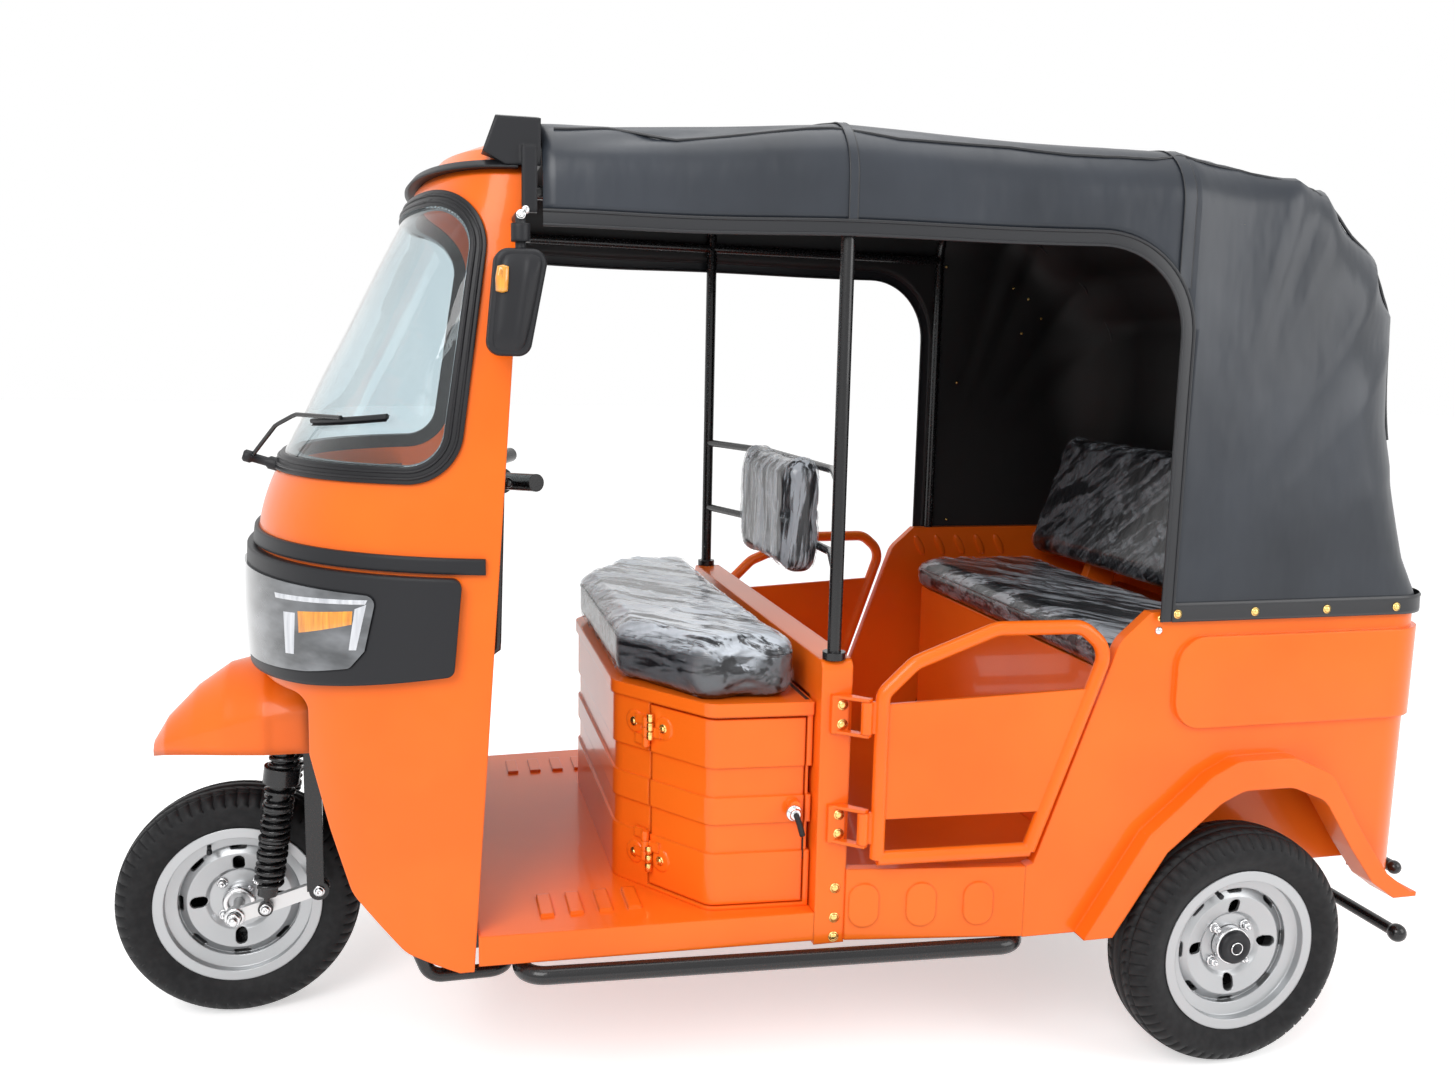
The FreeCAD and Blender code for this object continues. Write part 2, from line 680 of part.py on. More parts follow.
def wheels():
    height = size.tyre_radius
    half = size.rear_track / 2
    tyre("front_tyre", FRONT_AXLE_X, ZERO, height)
    rim("front_rim", FRONT_AXLE_X, ZERO, height, 1, size.front_axle_radius)
    tyre("rear_left_tyre", REAR_AXLE_X, half, height)
    rim("rear_left_rim", REAR_AXLE_X, half, height, 1, size.rear_axle_radius)
    tyre("rear_right_tyre", REAR_AXLE_X, -half, height)
    rim("rear_right_rim", REAR_AXLE_X, -half, height, -1, size.rear_axle_radius)


# Steering


def steer_axis_x(height):
    """Where the raked steering axis lies at a height."""
    slope = math.tan(math.radians(float(size.steer_rake)))
    return float(FRONT_AXLE_X - size.fork_set_back) - (height - float(size.crown_height)) * slope


def steer_point(height, side=0.0):
    return Vector(steer_axis_x(height), side, height)


def steer_way():
    return (steer_point(float(size.bar_centre_height)) - steer_point(0.0)).normalize()


def fork():
    """Crown, two legs and the damper ears, with the stem that turns in the head tube."""
    half = size.fork_half
    leg_x = FRONT_AXLE_X - size.fork_leg_set_back
    crown_rear = FRONT_AXLE_X - size.fork_set_back - size.stem_radius
    crown_front = FRONT_AXLE_X - size.damper_top_set_back + size.link_boss_radius
    crown_low = size.crown_height - size.crown_thick
    reach = size.damper_half + size.damper_radius
    crown = block("fork_crown", crown_rear, -reach, crown_low, crown_front - crown_rear,
                  reach * 2, size.crown_thick / 2)
    pivot_height = size.tyre_radius + size.link_rise
    legs = []
    for name, y in (("left", half), ("right", -half - size.fork_leg_thick)):
        legs.append(block("fork_leg_" + name, leg_x - size.fork_leg_width / 2, y,
                          pivot_height, size.fork_leg_width, size.fork_leg_thick,
                          crown_low - pivot_height))
        legs.append(rod("fork_eye_" + name, "y", FRONT_AXLE_X - size.link_set_back, y,
                        pivot_height, size.link_boss_radius, size.fork_leg_thick))
    stem_low = steer_point(float(crown_low))
    stem_high = steer_point(float(size.bar_centre_height))
    stem = freeform("fork_stem", rod_shape(stem_low, stem_high, size.stem_radius))
    keep(fuse("fork_whole", [crown, stem] + legs), "fork")


def leading_links():
    """The two arms that carry the axle ahead of the fork, with the axle between them."""
    outer = size.fork_half - size.running_gap
    pivot_x = FRONT_AXLE_X - size.link_set_back
    pivot_z = size.tyre_radius + size.link_rise
    slope_corners = [
        (pivot_x, pivot_z - size.link_height / 2),
        (FRONT_AXLE_X, size.tyre_radius - size.link_height / 2),
        (FRONT_AXLE_X, size.tyre_radius + size.link_height / 2),
        (pivot_x, pivot_z + size.link_height / 2),
    ]
    pieces = []
    for name, low in (("left", outer - size.link_thick), ("right", -outer)):
        pieces.append(slab("link_arm_" + name, "XZ", slope_corners, low, size.link_thick))
        pieces.append(rod("link_eye_" + name, "y", pivot_x, low, pivot_z,
                          size.link_boss_radius, size.link_thick))
        pieces.append(rod("link_end_" + name, "y", FRONT_AXLE_X, low, size.tyre_radius,
                          size.link_boss_radius, size.link_thick))
    pieces.append(rod("link_axle", "y", FRONT_AXLE_X, -outer, size.tyre_radius,
                      size.front_axle_radius, outer * 2))
    keep(fuse("leading_links_whole", pieces), "leading_links")


def damper_shape(foot, top):
    """One coil-over damper turned about its own line: body, coil rings and a collar."""
    way = top - foot
    length = way.Length
    body = float(size.damper_radius)
    coil = float(size.spring_radius)
    lower = float(size.damper_foot)
    upper = length - float(size.damper_head)
    pitch = (upper - lower) / COIL_COUNT
    wire = float(size.spring_wire)
    stem = float(size.damper_rod_radius)
    shoulder = float(size.damper_rod_length)
    profile = [(0.0, 0.0), (stem, 0.0), (stem, shoulder), (body, shoulder)]
    for turn in range(COIL_COUNT):
        middle = lower + pitch * (turn + 0.5)
        profile += [(body, middle - wire), (coil, middle - wire / 2),
                    (coil, middle + wire / 2), (body, middle + wire)]
    collar = float(size.collar_radius)
    collar_low = upper
    collar_high = upper + float(size.collar_height)
    profile += [(body, collar_low), (collar, collar_low), (collar, collar_high),
                (body, collar_high), (body, length), (0.0, length)]
    spots = [Vector(radius, 0, along) for radius, along in profile]
    face = Part.Face(Part.makePolygon(spots + [spots[0]]))
    shape = face.revolve(Vector(), Z_AXIS, 360)
    shape.Placement = Placement(foot, Rotation(Z_AXIS, way))
    return shape


def front_dampers():
    """A damper each side between the leading link and the crown's underside."""
    share = float(size.damper_set_back) / float(size.link_set_back)
    foot_x = float(FRONT_AXLE_X - size.damper_set_back)
    foot_z = float(size.tyre_radius) + float(size.link_rise) * share
    top_x = float(FRONT_AXLE_X - size.damper_top_set_back)
    top_z = float(size.crown_height - size.crown_thick - size.damper_end_gap)
    inner = float(size.fork_half)
    thick = float(size.link_thick)
    dampers = []
    for side in (1, -1):
        foot = Vector(foot_x, side * float(size.damper_half), foot_z)
        top = Vector(top_x, foot.y, top_z)
        low = inner if side > 0 else -inner - thick
        eye = Part.makeCylinder(float(size.damper_eye_radius), thick,
                                Vector(foot_x, low, foot_z), Y_AXIS)
        dampers.append(damper_shape(foot, top).fuse(eye))
    keep(freeform("front_dampers", Part.makeCompound(dampers)), "front_dampers")


def handlebar():
    """Swept bar with grips, switch housings, levers and the clamp on the stem."""
    height = float(size.bar_centre_height)
    clamp = steer_point(height)
    bar_x = clamp.x - float(size.bar_reach)
    centre = Vector(bar_x, 0, height)
    shapes = [rod_shape(clamp - steer_way() * float(size.switch_length), centre, size.stem_radius)]
    knee = float(size.bar_knee_half)
    tip_x = bar_x - float(size.bar_sweep)
    tip_z = height + float(size.bar_end_rise)
    points = [Vector(tip_x, -float(size.bar_half), tip_z), Vector(bar_x, -knee, height),
              Vector(bar_x, knee, height), Vector(tip_x, float(size.bar_half), tip_z)]
    shapes.append(tube_shape(points, size.bar_bend, size.bar_radius))
    for side in (1, -1):
        tip = Vector(tip_x, side * float(size.bar_half), tip_z)
        inward = (Vector(bar_x, side * knee, height) - tip).normalize()
        grip_end = tip + inward * float(size.grip_length)
        switch_end = grip_end + inward * float(size.switch_length)
        shapes.append(rod_shape(tip, grip_end, size.grip_radius))
        shapes.append(rod_shape(grip_end, switch_end, size.switch_radius))
        lever_root = switch_end + Vector(float(size.lever_standoff), 0, 0)
        lever_tip = lever_root - inward * float(size.lever_length)
        shapes.append(rod_shape(switch_end - inward * float(size.switch_radius), lever_root,
                                size.lever_radius))
        shapes.append(rod_shape(lever_root, lever_tip, size.lever_radius))
        shapes.append(Part.makeSphere(float(size.lever_knob), lever_tip))
    whole = shapes[0].multiFuse(shapes[1:])
    stem = rod_shape(steer_point(float(size.crown_height)), steer_point(height), size.stem_radius)
    keep(freeform("handlebar", whole.cut(stem)), "handlebar")


def guard_section(x, half, low, crease, ridge, inset):
    """One cross-section of the mudguard: flat skirt below, crease, and a round back."""
    half = half - inset
    crease = crease - inset / 2
    ridge = ridge - inset
    edges = [
        Part.LineSegment(Vector(x, -half, low), Vector(x, half, low)).toShape(),
        Part.LineSegment(Vector(x, half, low), Vector(x, half, crease)).toShape(),
        Part.Arc(Vector(x, half, crease), Vector(x, 0, ridge),
                 Vector(x, -half, crease)).toShape(),
        Part.LineSegment(Vector(x, -half, crease), Vector(x, -half, low)).toShape(),
    ]
    return Part.Wire(edges)


# Rings that stand for a spring's coils.
COIL_COUNT = 6

# Mudguard sections from the tip to the back: reach along it, width, and the heights of
# its lower edge, crease and ridge between the tip's height and the full ones.
GUARD_SHARES = [
    (0.00, 0.16, 0.00, 0.10, 0.14),
    (0.09, 0.42, 0.45, 0.30, 0.38),
    (0.28, 0.66, 0.75, 0.50, 0.69),
    (0.48, 0.85, 0.92, 0.70, 0.91),
    (0.72, 0.99, 1.00, 0.90, 1.00),
    (1.00, 1.00, 1.00, 1.00, 1.00),
]


def mudguard():
    """The beaked mudguard that turns with the fork, as a shell open below and behind."""
    tip_x = float(FRONT_AXLE_X + size.guard_tip_reach)
    back_x = float(FRONT_AXLE_X - size.guard_back)
    tip_z = float(size.guard_tip_height)
    wall = float(size.guard_wall)

    def body(inset, extra):
        wires = []
        for reach, width, low, crease, ridge in GUARD_SHARES:
            x = tip_x - inset * (1 - reach) + (back_x - extra * reach - tip_x) * reach
            wires.append(guard_section(
                x, float(size.guard_half) * width,
                shares_between(tip_z, size.guard_bottom, low) - extra,
                shares_between(tip_z, size.guard_crease, crease),
                shares_between(tip_z, size.guard_ridge, ridge), inset))
        return Part.makeLoft(wires, True, True)

    shell = body(0.0, 0.0).cut(body(wall, float(size.overrun)))
    bridge_x = float(FRONT_AXLE_X - size.damper_top_set_back)
    crown_top = float(size.crown_height - size.crown_thick / 2)
    half = float(size.fork_half)
    bridge = Part.makeBox(float(size.crown_thick), half * 2, float(size.guard_ridge) - crown_top,
                          Vector(bridge_x - float(size.crown_thick), -half, crown_top))
    bridge = bridge.common(body(wall, float(size.overrun)))
    slot = Part.makeBox(float(size.crown_thick) * 2, half * 2 - float(size.crown_thick),
                        float(size.guard_ridge) - crown_top,
                        Vector(bridge_x - float(size.crown_thick + size.crown_thick / 2),
                               -half + float(size.crown_thick) / 2,
                               crown_top + float(size.guard_wall)))
    keep(freeform("mudguard", shell.fuse(bridge.cut(slot))), "mudguard")


# Cowl


def cowl_half_at(height):
    share = (height - float(size.cowl_bottom)) / float(size.cowl_top - size.cowl_bottom)
    return shares_between(size.cowl_half_low, size.cowl_half_high, share)


def cowl_rear_at(height):
    share = (height - float(size.cowl_bottom)) / float(size.cowl_top - size.cowl_bottom)
    return shares_between(size.cowl_rear_low, size.cowl_rear_high, share)


def nose_at(height):
    """How far forward the cowl reaches at a height, by a smooth curve through its knots."""
    knots = [(float(z), float(x)) for z, x in (
        (size.cowl_bottom, size.nose_low), (size.shin_height, size.nose_shin),
        (size.brow_height, size.nose_brow), (size.sill_height, size.nose_sill),
        (size.screen_top_height, size.nose_top))]
    pairs = list(zip(knots, knots[1:]))
    runs = [(high[1] - low[1]) / (high[0] - low[0]) for low, high in pairs]
    slopes = [runs[0]] + [(a + b) / 2 for a, b in zip(runs[:-2], runs[1:-1])]
    slopes += [runs[-1], runs[-1]]
    index = next((i for i, (low, high) in enumerate(pairs) if height <= high[0]),
                 len(pairs) - 1)
    low, high = pairs[index]
    span = high[0] - low[0]
    share = (height - low[0]) / span
    ease = share * share * (3 - 2 * share)
    bend = slopes[index] * (1 - share) - slopes[index + 1] * share
    return low[1] + (high[1] - low[1]) * ease + span * share * (1 - share) * bend


def cowl_stations():
    """Even heights of the cowl's plan sections with the nose and half width of each."""
    heights = [shares_between(size.cowl_bottom, size.screen_top_height, band / COWL_BANDS)
               for band in range(COWL_BANDS + 1)]
    return [(z, nose_at(z), cowl_half_at(z)) for z in heights]


def dome_stations():
    """The same for the dome over the windscreen."""
    return [
        (float(size.dome_mid_height), float(size.dome_mid_nose), float(size.dome_mid_half)),
        (float(size.dome_high), float(size.dome_nose), float(size.dome_half)),
    ]


def cowl_wire(height, nose, half, rear):
    """A plan section: straight across the rear, a full round nose in front."""
    points = []
    for step in range(-COWL_STEPS, COWL_STEPS + 1):
        spread = 1 - (1 - abs(step) / COWL_STEPS) ** COWL_CROWDING_SHARE
        angle = math.copysign(math.pi / 2 * spread, step)
        across = math.copysign(abs(math.sin(angle)) ** (2 / COWL_FULLNESS_SHARE), angle)
        along = abs(math.cos(angle)) ** (2 / COWL_FULLNESS_SHARE)
        points.append(Vector(rear + (nose - rear) * along, half * across, height))
    points[0].x = rear
    points[-1].x = rear
    curve = Part.BSplineCurve()
    curve.interpolate(points)
    back = Part.LineSegment(points[-1], points[0])
    return Part.Wire([curve.toShape(), back.toShape()])


def cowl_solid(grow):
    """The cowl's outer form, grown or shrunk by a distance: a smooth body and its dome."""
    stations = cowl_stations()
    last = len(stations) - 1
    stations += dome_stations()
    spare = float(size.overrun) if grow < 0 else 0.0
    wires = []
    for index, (height, nose, half) in enumerate(stations):
        level = height
        if index == 0:
            level = height - abs(grow)
        if index == len(stations) - 1:
            level = height + grow
        wires.append(cowl_wire(level, nose + grow, half + grow, cowl_rear_at(height) - spare))
    body = Part.makeLoft(wires[:last + 1], True, False)
    return body.fuse(Part.makeLoft(wires[last:], True, True))


def side_prism(corners, half, radii=None):
    """A block with a side-view outline, reaching both sides."""
    wire = rounded_wire([Vector(float(x), -half, float(z)) for x, z in corners], radii or {})
    return Part.Face(wire).extrude(Vector(0, 2 * half, 0))


def rounded_wire(spots, radii):
    """A closed outline whose chosen corners are rounded."""
    count = len(spots)
    edges = []
    starts = list(spots)
    ends = list(spots)
    arcs = {}
    for index, radius in radii.items():
        ends[index], starts[index], centre = corner_cut(
            spots[index - 1], spots[index], spots[(index + 1) % count], float(radius))
        middle = centre + (spots[index] - centre).normalize() * float(radius)
        arcs[index] = Part.Arc(ends[index], middle, starts[index]).toShape()
    for index in range(count):
        following = (index + 1) % count
        edges.append(Part.LineSegment(starts[index], ends[following]).toShape())
        if following in arcs:
            edges.append(arcs[following])
    return Part.Wire(edges)


def screen_prism(grow):
    """The wrap-round windscreen opening in side view, grown by a distance."""
    reach = size.nose_brow + size.overrun * 3
    corners = [
        (size.screen_rear_low - grow, size.screen_low - grow),
        (reach, size.screen_low - grow),
        (reach, size.screen_high + grow),
        (size.screen_rear_high - grow, size.screen_high + grow),
    ]
    bend = float(size.screen_corner) + float(grow)
    return side_prism(corners, float(size.side_reach), {0: bend, 3: bend})


def bezel_prism():
    """Side-view outline of the lamps' surround."""
    reach = size.nose_brow + size.overrun * 4
    corners = [
        (size.bezel_foot, size.bezel_rear_low),
        (size.arch_front, size.bezel_nose_low + size.bezel_corner),
        (reach, size.bezel_nose_low),
        (reach, size.bezel_top_nose),
        (size.bezel_rear, size.bezel_top),
    ]
    return side_prism(corners, float(size.side_reach),
                      {0: size.bezel_corner, 4: size.bezel_corner})


def lamp_prism():
    """Side-view outline of a headlamp, from its slanted rear edge round to the nose."""
    reach = size.nose_brow + size.overrun * 4
    corners = [
        (size.lamp_rear_low, size.lamp_low),
        (size.arch_front, size.lamp_low - size.bezel_corner),
        (reach, size.lamp_nose_low),
        (reach, size.lamp_top + size.bezel_corner),
        (size.lamp_rear_high, size.lamp_top),
        (size.lamp_heel, size.lamp_heel_height),
    ]
    whole = side_prism(corners, float(size.side_reach),
                       {0: size.bezel_corner, 4: size.bezel_corner})
    middle = Part.makeBox(
        float(size.overall_length), float(size.lamp_inner_half) * 2,
        float(size.overall_length), Vector(0, -float(size.lamp_inner_half), 0))
    return whole.cut(middle)


def wheel_opening():
    """The cut for the front wheel, seen from the side."""
    low = size.cowl_bottom - size.overrun * 3
    reach = size.nose_brow + size.overrun * 4
    corners = [
        (size.cowl_rear_low + size.cowl_wall, low),
        (reach, low),
        (reach, size.arch_roof),
        (size.arch_front, size.arch_roof),
        (size.arch_front, size.arch_notch),
        (size.arch_mid_x, size.arch_mid_z),
        (size.arch_low_x, size.arch_low_z),
        (size.arch_foot_x, size.arch_foot_z),
        (size.cowl_rear_low + size.cowl_wall, size.cowl_bottom),
    ]
    bends = {3: size.arch_corner, 6: size.arch_corner * 2, 7: size.arch_corner * 2}
    return side_prism(corners, float(size.side_reach), bends)


def front_cowl(outer, inner):
    """The nose, pillars and dome as one hollow pressing open to the cab behind."""
    shell = outer.cut(inner)
    shell = shell.cut(screen_prism(size.gasket_width))
    keep(freeform("front_cowl", shell.cut(wheel_opening())), "front_cowl")


def windscreen(inner):
    """Rubber gasket round the opening and the curved glass inside it."""
    proud = cowl_solid(float(size.gasket_proud))
    ring = screen_prism(size.gasket_width).cut(screen_prism(ZERO))
    keep(freeform("windscreen_gasket", proud.cut(inner).common(ring)), "windscreen_gasket")
    face = cowl_solid(0.0)
    back = cowl_solid(-float(size.glass_thick))
    pane = face.cut(back).common(screen_prism(ZERO))
    keep(freeform("windscreen_glass", pane), "windscreen_glass")


def lamp_bezel(outer):
    """Black surround that wraps the nose, with a socket for each lamp."""
    proud = cowl_solid(float(size.bezel_proud))
    surround = proud.cut(outer).common(bezel_prism())
    socket = cowl_solid(float(size.lamp_depth) - float(size.running_gap))
    surround = surround.cut(proud.cut(socket).common(lamp_prism()))
    keep(freeform("lamp_bezel", surround), "lamp_bezel")


def headlamps():
    """Two clear lamp units let into the surround, one each side of the nose."""
    shape = cowl_solid(float(size.lamp_proud)).cut(cowl_solid(float(size.lamp_depth)))
    keep(freeform("headlamps", shape.common(lamp_prism())), "headlamps")


def cowl_trims(outer):
    """The black strip over the lamps and the black-edged lip over the windscreen."""
    reach = size.nose_brow + size.overrun * 4
    strip = side_prism([
        (size.strip_rear, size.strip_low), (reach, size.strip_nose_low),
        (reach, size.strip_nose_low + size.strip_tall),
        (size.strip_rear, size.strip_low + size.strip_tall)], float(size.side_reach))
    band = cowl_solid(float(size.strip_proud)).cut(outer).common(strip)
    high = size.visor_height + size.visor_thick
    edge = side_prism([
        (size.visor_rear, size.visor_height), (reach, size.visor_height),
        (reach, high), (size.visor_rear, high)], float(size.side_reach))
    lip = cowl_solid(float(size.visor_reach)).cut(outer).common(edge)
    keep(freeform("cowl_trims", Part.makeCompound([band, lip])), "cowl_trims")


def bulkhead(inner_limit):
    """Footwell wall with the dash shelf over it, pierced for the steering column."""
    skin = size.bulkhead_skin
    corners = [
        (size.bulkhead_foot, size.floor_height),
        (size.bulkhead_foot + skin, size.floor_height),
        (size.bulkhead_mid + skin, size.bulkhead_mid_height),
        (size.bulkhead_top + skin, size.bulkhead_top_height),
        (size.bulkhead_top + skin, size.dash_high - skin),
        (size.dash_front, size.dash_high),
        (size.dash_front - skin, size.dash_high + skin),
        (size.dash_rear, size.dash_high + skin),
        (size.dash_rear, size.dash_low),
        (size.dash_rear + skin, size.dash_low),
        (size.bulkhead_top, size.dash_high - skin),
        (size.bulkhead_top, size.bulkhead_top_height),
        (size.bulkhead_mid, size.bulkhead_mid_height),
    ]
    panel = side_prism(corners, float(size.cowl_half_low)).common(inner_limit)
    column = rod_shape(steer_point(float(size.floor_height)),
                       steer_point(float(size.bar_centre_height)), size.column_hole)
    keep(freeform("dash_bulkhead", panel.cut(column)), "dash_bulkhead")


def roof_cap():
    """The raised black cap that bridges the front of the roof on a leg each side."""
    profile = side_prism([
        (size.cap_rear, size.cap_low), (size.cap_front, size.cap_low),
        (size.cap_toe, size.cap_toe_height), (size.cap_front, size.cap_crown_height),
        (size.cap_rear, size.cap_crown_height)], float(size.cap_half))
    low = float(size.cap_rear) - float(size.overrun)
    length = float(size.cap_toe - size.cap_rear) + float(size.overrun) * 2
    top = arch_prism(low, length, float(size.cap_half), float(size.cap_end_height),
                     float(size.cap_crown_height), float(size.cap_low) - float(size.overrun))
    hollow = arch_prism(low, length, float(size.cap_half - size.cap_leg),
                        float(size.cap_arch_end), float(size.cap_arch_crown),
                        float(size.cap_low) - float(size.overrun))
    return profile.common(top).cut(hollow)


def cap_straps():
    """The strap each side that ties the cap's leg down to the pillar."""
    straps = []
    for side in (1, -1):
        inner = float(size.strap_inner)
        low = inner if side > 0 else -inner - float(size.strap_thick)
        straps.append(Part.makeBox(
            float(size.strap_width), float(size.strap_thick),
            float(size.strap_top - size.strap_foot),
            Vector(float(size.strap_rear), low, float(size.strap_foot))))
    return straps


def arch_prism(low_x, length, half, end_height, crown_height, foot):
    """A block under an arch, running along the vehicle."""
    edges = [
        Part.LineSegment(Vector(low_x, -half, foot), Vector(low_x, half, foot)).toShape(),
        Part.LineSegment(Vector(low_x, half, foot), Vector(low_x, half, end_height)).toShape(),
        Part.Arc(Vector(low_x, half, end_height), Vector(low_x, 0, crown_height),
                 Vector(low_x, -half, end_height)).toShape(),
        Part.LineSegment(Vector(low_x, -half, end_height), Vector(low_x, -half, foot)).toShape(),
    ]
    return Part.Face(Part.Wire(edges)).extrude(Vector(length, 0, 0))


def nose_pieces():
    outer = cowl_solid(0.0)
    inner = cowl_solid(-float(size.cowl_wall))
    front_cowl(outer, inner)
    windscreen(inner)
    lamp_bezel(outer)
    headlamps()
    cowl_trims(outer)
    bulkhead(cowl_solid(-float(size.cowl_wall + size.dash_gap)))
    cap = roof_cap().cut(outer).cut(cowl_solid(float(size.visor_reach)))
    keep(freeform("roof_cap", cap.multiFuse(cap_straps())), "roof_cap")


def mirrors():
    """A folded mirror each side, hung from a bent arm with a collar on the upper pillar."""
    corners = [
        (size.mirror_low_rear, size.mirror_low), (size.mirror_low_front, size.mirror_low),
        (size.mirror_top_front, size.mirror_top), (size.mirror_top_rear, size.mirror_top),
    ]
    spots = [Vector(float(x), float(size.mirror_inner), float(z)) for x, z in corners]
    bends = {index: size.mirror_corner for index in range(4)}
    head = Part.Face(rounded_wire(spots, bends)).extrude(
        Vector(0, float(size.mirror_thick), 0))
    rims = [edge for edge in head.Edges if edge.BoundBox.YLength < float(size.running_gap)]
    head = head.makeFillet(float(size.mirror_edge), rims)
    x = float(size.mirror_x)
    half = float(size.mirror_half)
    height = float(size.mirror_arm_height)
    arm = tube_shape([Vector(x, float(size.mirror_foot_half), height), Vector(x, half, height),
                      Vector(x, half, float(size.mirror_top - size.mirror_corner))],
                     size.mirror_corner, size.mirror_arm_radius)
    collar = Part.makeCylinder(float(size.mirror_collar_radius), float(size.mirror_collar_tall),
                               Vector(x, half, float(size.mirror_collar_low)))
    left = head.multiFuse([arm, collar]).cut(cowl_solid(float(size.running_gap)))
    pair = Part.makeCompound([left, left.mirror(Vector(), Y_AXIS)])
    keep(freeform("mirrors", pair), "mirrors")


def floor_pan():
    """The front floor: flat sheet, side lips and pressed ribs along each edge."""
    outline = mirrored([
        (size.floor_rear, size.floor_rear_half), (size.floor_step_x, size.floor_side_half),
        (size.floor_step_x, size.floor_step_half), (size.floor_front, size.floor_front_half),
    ])
    low = size.floor_height - size.floor_skin
    sheet = slab("floor_sheet", "XY", outline, low, size.floor_skin)
    lip_outline = [
        (size.floor_rear, size.floor_rear_half), (size.floor_step_x, size.floor_side_half),
        (size.floor_step_x, size.floor_side_half - size.floor_lip_thick),
        (size.floor_rear, size.floor_rear_half - size.floor_lip_thick),
    ]
    lip = slab("floor_lip_left", "XY", lip_outline, size.floor_height - size.floor_lip,
               size.floor_lip)
    pieces = [sheet, lip, mirror("floor_lip_right", lip)]
    for index in range(4):
        x = size.rib_first - size.rib_pitch * index + size.rib_width
        for side, name in ((1, "left"), (-1, "right")):
            y = size.floor_side_half - size.rib_inset - size.rib_length
            start = y if side > 0 else -y - size.rib_length
            pieces.append(block("floor_rib_" + name + str(index), x, start, size.floor_height,
                                size.rib_width, size.rib_length, size.rib_height))
    return fuse("floor_whole", pieces)


def partition():
    """The wall behind the driver: posts, top beam and a recessed sheet between them."""
    body = new_body("partition")
    depth = size.wall_front + size.wall_rear
    front = body_sketch(body, "wall_outline", "YZ", -size.wall_rear)
    draw_outline(front, [(-size.wall_half, size.wall_low), (size.wall_half, size.wall_low),
                         (size.wall_half, size.wall_top), (-size.wall_half, size.wall_top)],
                 {2: size.wall_corner, 3: size.wall_corner})
    pad(body, front, depth)
    inner_half = size.wall_half - size.wall_post
    inner = [(-inner_half, size.wall_low + size.wall_post * 0.5),
             (inner_half, size.wall_low + size.wall_post * 0.5),
             (inner_half, size.wall_top - size.wall_beam),
             (-inner_half, size.wall_top - size.wall_beam)]
    bends = {index: size.wall_corner for index in range(4)}
    ahead = body_sketch(body, "wall_front_recess", "YZ", size.wall_front)
    draw_outline(ahead, inner, bends)
    pocket(body, ahead, size.wall_recess)
    behind = body_sketch(body, "wall_rear_recess", "YZ", -size.wall_rear)
    draw_outline(behind, inner, bends)
    pocket(body, behind, size.wall_recess, reverse=True)
    keep(body, "partition")


# How far each locker corner moves in, in wall thicknesses, so that the walls stay even.
LOCKER_INSET_SHARES = [(1.0, 1.0), (-0.54, 0.96), (-1.0, 0.33)]

# The same for the lid, whose rear edge stays flush with the locker.
LID_SHARES = [(0.0, 1.0), (-0.54, 0.96), (-1.0, 0.33)]


def seat_box_corners():
    return [
        (size.box_rear, size.box_rear_half),
        (size.box_side_front, size.box_side_front_half),
        (size.box_front, size.box_front_half),
    ]


def seat_box_outline(inset):
    """Plan outline of the locker, moved in by an even distance."""
    moved = [(x + inset * along, y - inset * across)
             for (x, y), (along, across) in zip(seat_box_corners(), LOCKER_INSET_SHARES)]
    return mirrored(moved)


def lid_outline():
    """Plan outline of the locker's lid, which stands out except at the rear."""
    moved = [(x - size.lid_proud * along, y + size.lid_proud * across)
             for (x, y), (along, across) in zip(seat_box_corners(), LID_SHARES)]
    return mirrored(moved)


def belt_tool(name, low, bends):
    """The ring that presses one belt into the locker's walls."""
    inner_bends = {index: bend - size.belt_depth for index, bend in bends.items()}
    outside = slab(name + "_outside", "XY", seat_box_outline(-size.overrun), low,
                   size.belt_tall)
    inside = slab(name + "_inside", "XY", seat_box_outline(size.belt_depth), low,
                  size.belt_tall, inner_bends)
    return cut(name, outside, inside)


# The locker's slanted face: shares of a step out of it, and of a step rearward along it.
LOCKER_OUT_SHARES = (0.809, 0.5875)
LOCKER_BACK_SHARES = (-0.5875, 0.809)


def locker_spot(out, back):
    """A plan point at a step out of the slanted face and rearward from the hinge seam."""
    x = size.box_hinge_x + out * LOCKER_OUT_SHARES[0] + back * LOCKER_BACK_SHARES[0]
    y = size.box_hinge_half + out * LOCKER_OUT_SHARES[1] + back * LOCKER_BACK_SHARES[1]
    return x, y


def locker_door_zone(name, gap):
    """The block that holds the locker's door, less a gap on every side."""
    deep = size.box_skin * 3
    rear = size.box_door_rear + gap
    inner = locker_spot(-deep, gap)
    outer = locker_spot(deep, gap)
    corners = [
        (rear, inner[1]), inner, outer, (outer[0], size.box_rear_half + deep),
        (rear, size.box_rear_half + deep),
    ]
    return slab(name, "XY", corners, size.box_door_low + gap,
                size.box_door_top - size.box_door_low - gap * 2)


def locker_hinge(name, low, way, length, start):
    """A barrel on the hinge line with a leaf that lies on the locker's face."""
    axis = locker_spot(size.box_hinge_standoff, ZERO)
    barrel = rod(name + "_barrel", "z", axis[0], axis[1], low, size.box_hinge_radius, length)
    near = size.box_hinge_pin
    far = size.box_hinge_leaf
    corners = [
        locker_spot(-start, near * way), locker_spot(size.box_hinge_plate, near * way),
        locker_spot(size.box_hinge_plate, far * way), locker_spot(-start, far * way),
    ]
    return fuse(name, [barrel, slab(name + "_leaf", "XY", corners, low, length)])


